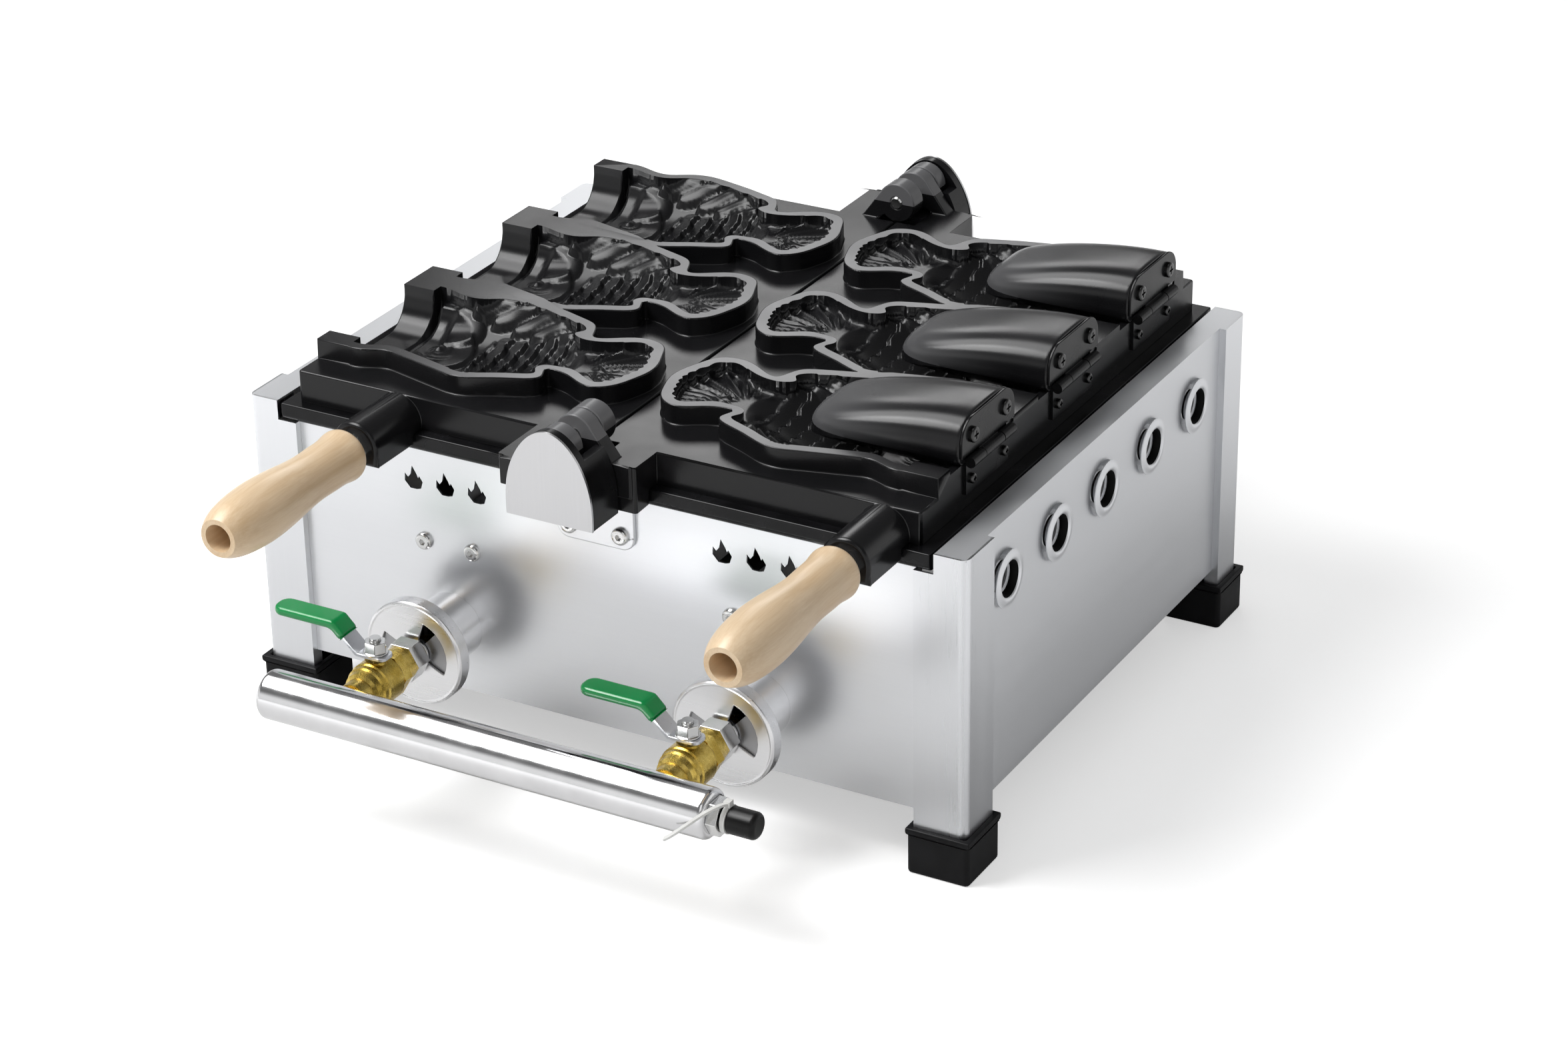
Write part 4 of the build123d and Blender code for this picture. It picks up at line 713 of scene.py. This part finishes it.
coat = coated("nonstick_coat")
fine_casting("left_casting_cut", "left_casting", -1, "left_half", False)
fine_casting("right_casting_cut", "right_casting", 1, "right_half", True)
dress(coat, "core_1", "core_2", "core_3", "left_casting", "right_casting")


# ------------------------------------------------------------------ mouth cores
# Cast tongues that keep the fishes' mouths open: domed back, upright sides
# with a soft shoulder, blunt nose, flat end under the hinge leaf.
SILL_CLEAR = 227.1       # the end block stands this high, over the sill
CORE_BELLY = 17.5
CORE_MIDDLE = 4.0        # height over the parting plane that the end closes on


def mouth_core(name, source, row, body):
    """Tongue and end block, pulled out of a round ball ring by ring."""
    bm = bmesh.new()
    rings, around = 60, 72
    bmesh.ops.create_uvsphere(bm, u_segments=around, v_segments=rings, radius=1.0)
    verts = list(bm.verts)
    at = np.array([v.co[:] for v in verts])
    share = np.arccos(np.clip(at[:, 2], -1, 1)) / math.pi * rings    # 0 at the nose, 60 in the end's middle
    # rings 0 to 42 the tongue, 43 to 48 the end block, 49 to 51 its rim, the rest its flat end
    along = np.interp(share, [0, 2, 6, 14, 42, 43, 44, 48, 49, 50, 51, 60],
                      [1.0, 0.997, 0.975, 0.90, 0.002, 0.0008, -0.004, -0.050, -0.0585,
                       -0.0638, -0.0658, -0.0658])
    inset = np.interp(share, [0, 48, 49, 50, 51, 60], [1, 1, 0.995, 0.985, 0.97, 0])
    t = np.clip(along, 0, 1)
    half, waist, up, nose = core_lines(t)
    down = CORE_BELLY - 4.2 * t ** 1.5 - 5.0 * nose
    turn = np.arctan2(at[:, 1], at[:, 0])
    c, s = np.cos(turn), np.sin(turn)
    top = s >= 0
    w = half * np.where(top, np.sign(c) * np.abs(c) ** CORE_SQUARE, c)
    z = np.where(top, waist + (up - waist) * np.abs(s) ** CORE_DOME, waist - (down + waist) * s * s)
    w, z = w * inset, CORE_MIDDLE + (z - CORE_MIDDLE) * inset
    x = CORE_INNER - CORE_LENGTH * along
    z = np.where(x > CORE_INNER - 0.1, np.maximum(PARTING + z, SILL_CLEAR), PARTING + z)
    for v, a, b, d in zip(verts, x, row + w, z):
        v.co = Vector((a, b, d)) * MM
    bmesh.ops.remove_doubles(bm, verts=bm.verts, dist=1e-5)
    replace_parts(new_piece(bm, name, body, "nonstick", 50, coat), source)


for count, row in enumerate(FISH_ROWS, 1):
    mouth_core(f"mouth_core_{count}", f"core_{count}", row, f"core_{count}_swing")


# ------------------------------------------------------------------ core hinges
# Three-knuckle butt hinges in the same black coat, with pan-head screws.
leaf_black = moulded("leaf_black", (0.006, 0.006, 0.0065), (0.012, 0.012, 0.013), 0.24, spec=0.2)
dress(leaf_black, "core_lower_leaves", "core_leaf_1", "core_leaf_2", "core_leaf_3", "core_hinge_pins")
ease(0.0004, "core_leaf_1", "core_leaf_2", "core_leaf_3")
screw_black = polished("screw_black", (0.03, 0.03, 0.03), (0.10, 0.10, 0.10), 0.22)
dress(screw_black, "core_screws_1", "core_screws_2", "core_screws_3", "leaf_screws")


# ------------------------------------------------------------------ handles
# Turned beech, clear-lacquered, bored from the free end and run onto a stud.
def beech(name):
    """Pale beech: growth rings along the handle and short darker flecks."""
    finish, tree, shader = new_finish(name)
    spot = place(tree)
    rings = noise_node(tree, spot, 1.0, 5.0, 0.6, (90.0, 5.0, 60.0))
    flecks = noise_node(tree, spot, 1.0, 3.0, 0.6, (900.0, 45.0, 900.0))
    tone = math_node(tree, "ADD", math_node(tree, "MULTIPLY", rings, 0.75),
                     math_node(tree, "MULTIPLY", flecks, 0.25))
    ramp = map_range(tree, tone, 0.32, 0.68)
    colour = mix_colour(tree, ramp, (0.74, 0.52, 0.30), (0.90, 0.71, 0.49))
    tree.links.new(colour, shader.inputs["Base Color"])
    tree.links.new(map_range(tree, flecks, 0.3, 0.7, 0.34, 0.46), shader.inputs["Roughness"])
    shader.inputs["Coat Weight"].default_value = 0.25
    shader.inputs["Coat Roughness"].default_value = 0.2
    bump(tree, shader, flecks, 0.25, 0.00005)
    return finish


handle_beech = beech("handle_beech")
dress(handle_beech, "left_handle", "right_handle")


# ------------------------------------------------------------------ studio
# White sweep, a sky that is white low down and dim overhead, a soft lamp high
# at the front left, weak ones behind and at the front right, and the camera.
def show_white(tree):
    """1 where the camera, a gloss or glass looks, else 0."""
    path = tree.nodes.new("ShaderNodeLightPath")
    seen = math_node(tree, "MAXIMUM", path.outputs["Is Camera Ray"], path.outputs["Is Glossy Ray"])
    return math_node(tree, "MAXIMUM", seen, path.outputs["Is Transmission Ray"])


world = bpy.data.worlds.new("studio")
bpy.context.scene.world = world
world.use_nodes = True
sky = world.node_tree
background = sky.nodes["Background"]
background.inputs["Color"].default_value = (1.0, 1.0, 1.0, 1.0)
# white at the horizon; the unlit ceiling above it only shows in glosses
toward = sky.nodes.new("ShaderNodeSeparateXYZ")
direction = sky.nodes.new("ShaderNodeTexCoord").outputs["Generated"]
sky.links.new(direction, toward.inputs[0])
ceiling = map_range(sky, toward.outputs["Z"], 0.22, 0.50, 1.0, 0.20)
# a dark flag low down at the back left keeps the castings' noses and walls deep
flag = math_node(sky, "SUBTRACT", math_node(sky, "MULTIPLY", toward.outputs["Y"], 0.66),
                 math_node(sky, "MULTIPLY", toward.outputs["X"], 0.75))
flag = math_node(sky, "MULTIPLY", map_range(sky, flag, 0.45, 0.85, 0.0, 0.75),
                 map_range(sky, toward.outputs["Z"], 0.40, 0.28))
ceiling = math_node(sky, "MULTIPLY", ceiling, math_node(sky, "SUBTRACT", 1.0, flag))
# a wide soft box overhead, a little to the left, for the gloss on gentle slopes
above = sky.nodes.new("ShaderNodeVectorMath")
above.operation = "DOT_PRODUCT"
sky.links.new(direction, above.inputs[0])
above.inputs[1].default_value = (-0.46, -0.02, 0.888)
box = map_range(sky, above.outputs["Value"], 0.91, 0.975, 0.0, 7.5)
ceiling = math_node(sky, "MAXIMUM", ceiling, box)
path = sky.nodes.new("ShaderNodeLightPath")
seen = math_node(sky, "MAXIMUM", path.outputs["Is Camera Ray"],
                 math_node(sky, "MULTIPLY", show_white(sky), ceiling))
strength = math_node(sky, "MAXIMUM", seen, math_node(sky, "MULTIPLY", path.outputs["Is Diffuse Ray"], 0.28))
sky.links.new(strength, background.inputs["Strength"])

bm = bmesh.new()
bmesh.ops.create_grid(bm, x_segments=1, y_segments=1, size=12.0)
sweep_mesh = bpy.data.meshes.new("sweep")
bm.to_mesh(sweep_mesh)
bm.free()
sweep = bpy.data.objects.new("sweep", sweep_mesh)
bpy.context.scene.collection.objects.link(sweep)
paper, tree, shader = new_finish("white_paper")
shader.inputs["Base Color"].default_value = (0.85, 0.85, 0.85, 1.0)
shader.inputs["Roughness"].default_value = 0.9
shader.inputs["Emission Color"].default_value = (1.0, 1.0, 1.0, 1.0)
# painted shade: glosses see the paper darker close by and the camera sees it darker right
# under the stand, in place of the object's own shade
ground = tree.nodes.new("ShaderNodeSeparateXYZ")
tree.links.new(place(tree), ground.inputs[0])
off_x = math_node(tree, "SUBTRACT", math_node(tree, "ABSOLUTE", ground.outputs["X"]), 0.20)
off_y = math_node(tree, "SUBTRACT", ground.outputs["Y"], 0.07)
off_y = math_node(tree, "SUBTRACT", math_node(tree, "ABSOLUTE", off_y), 0.23)
apart = map_range(tree, math_node(tree, "MAXIMUM", off_x, off_y), 0.0, 0.55, 0.0, 1.0)
path = tree.nodes.new("ShaderNodeLightPath")
under_x = map_range(tree, math_node(tree, "ABSOLUTE", ground.outputs["X"]), 0.20, 0.17)
under_y = math_node(tree, "ABSOLUTE", math_node(tree, "SUBTRACT", ground.outputs["Y"], 0.09))
under_y = map_range(tree, under_y, 0.14, 0.10)
lit = math_node(tree, "SUBTRACT", 1.0, math_node(tree, "MULTIPLY", under_x, under_y))
white = math_node(tree, "MAXIMUM", math_node(tree, "MULTIPLY", path.outputs["Is Camera Ray"], lit),
                  math_node(tree, "MULTIPLY", show_white(tree), apart))
tree.links.new(math_node(tree, "MULTIPLY", white, 0.5), shader.inputs["Emission Strength"])
sweep_mesh.materials.append(paper)


def soft_lamp(name, spot, aim, size, watts):
    """Rectangular area lamp aimed at a point."""
    lamp = bpy.data.lights.new(name, "AREA")
    lamp.shape = "RECTANGLE"
    lamp.size, lamp.size_y = size
    lamp.energy = watts
    holder = bpy.data.objects.new(name, lamp)
    bpy.context.scene.collection.objects.link(holder)
    holder.location = spot
    holder.rotation_euler = (Vector(aim) - Vector(spot)).to_track_quat("-Z", "Y").to_euler()


soft_lamp("lamp_top", (-0.97, -0.93, 1.91), (0, 0.05, 0.2), (1.0, 1.0), 38)
soft_lamp("lamp_back", (-1.0, 1.95, 1.30), (0, 0, 0.2), (0.8, 0.5), 4)
soft_lamp("lamp_front", (1.6, -2.2, 2.2), (0, 0, 0.1), (1.6, 1.6), 7)

YAW, PITCH, ROLL = (math.radians(a) for a in (-29.606, 26.535, -1.024))
ahead = Vector((math.sin(YAW) * math.cos(PITCH), math.cos(YAW) * math.cos(PITCH), -math.sin(PITCH)))
level = Vector((math.cos(YAW), -math.sin(YAW), 0))
upward = level.cross(ahead)
right = level * math.cos(ROLL) + upward * math.sin(ROLL)
top = upward * math.cos(ROLL) - level * math.sin(ROLL)
lens_data = bpy.data.cameras.new("camera")
lens_data.sensor_width = 36.0
lens_data.lens = 92.35
camera = bpy.data.objects.new("camera", lens_data)
bpy.context.scene.collection.objects.link(camera)
turn = Matrix((right, top, -ahead)).transposed().to_4x4()
turn.translation = Vector((1.0857, -1.81985, 1.1717))
camera.matrix_world = turn
bpy.context.scene.camera = camera
bpy.context.scene.view_settings.view_transform = "Standard"
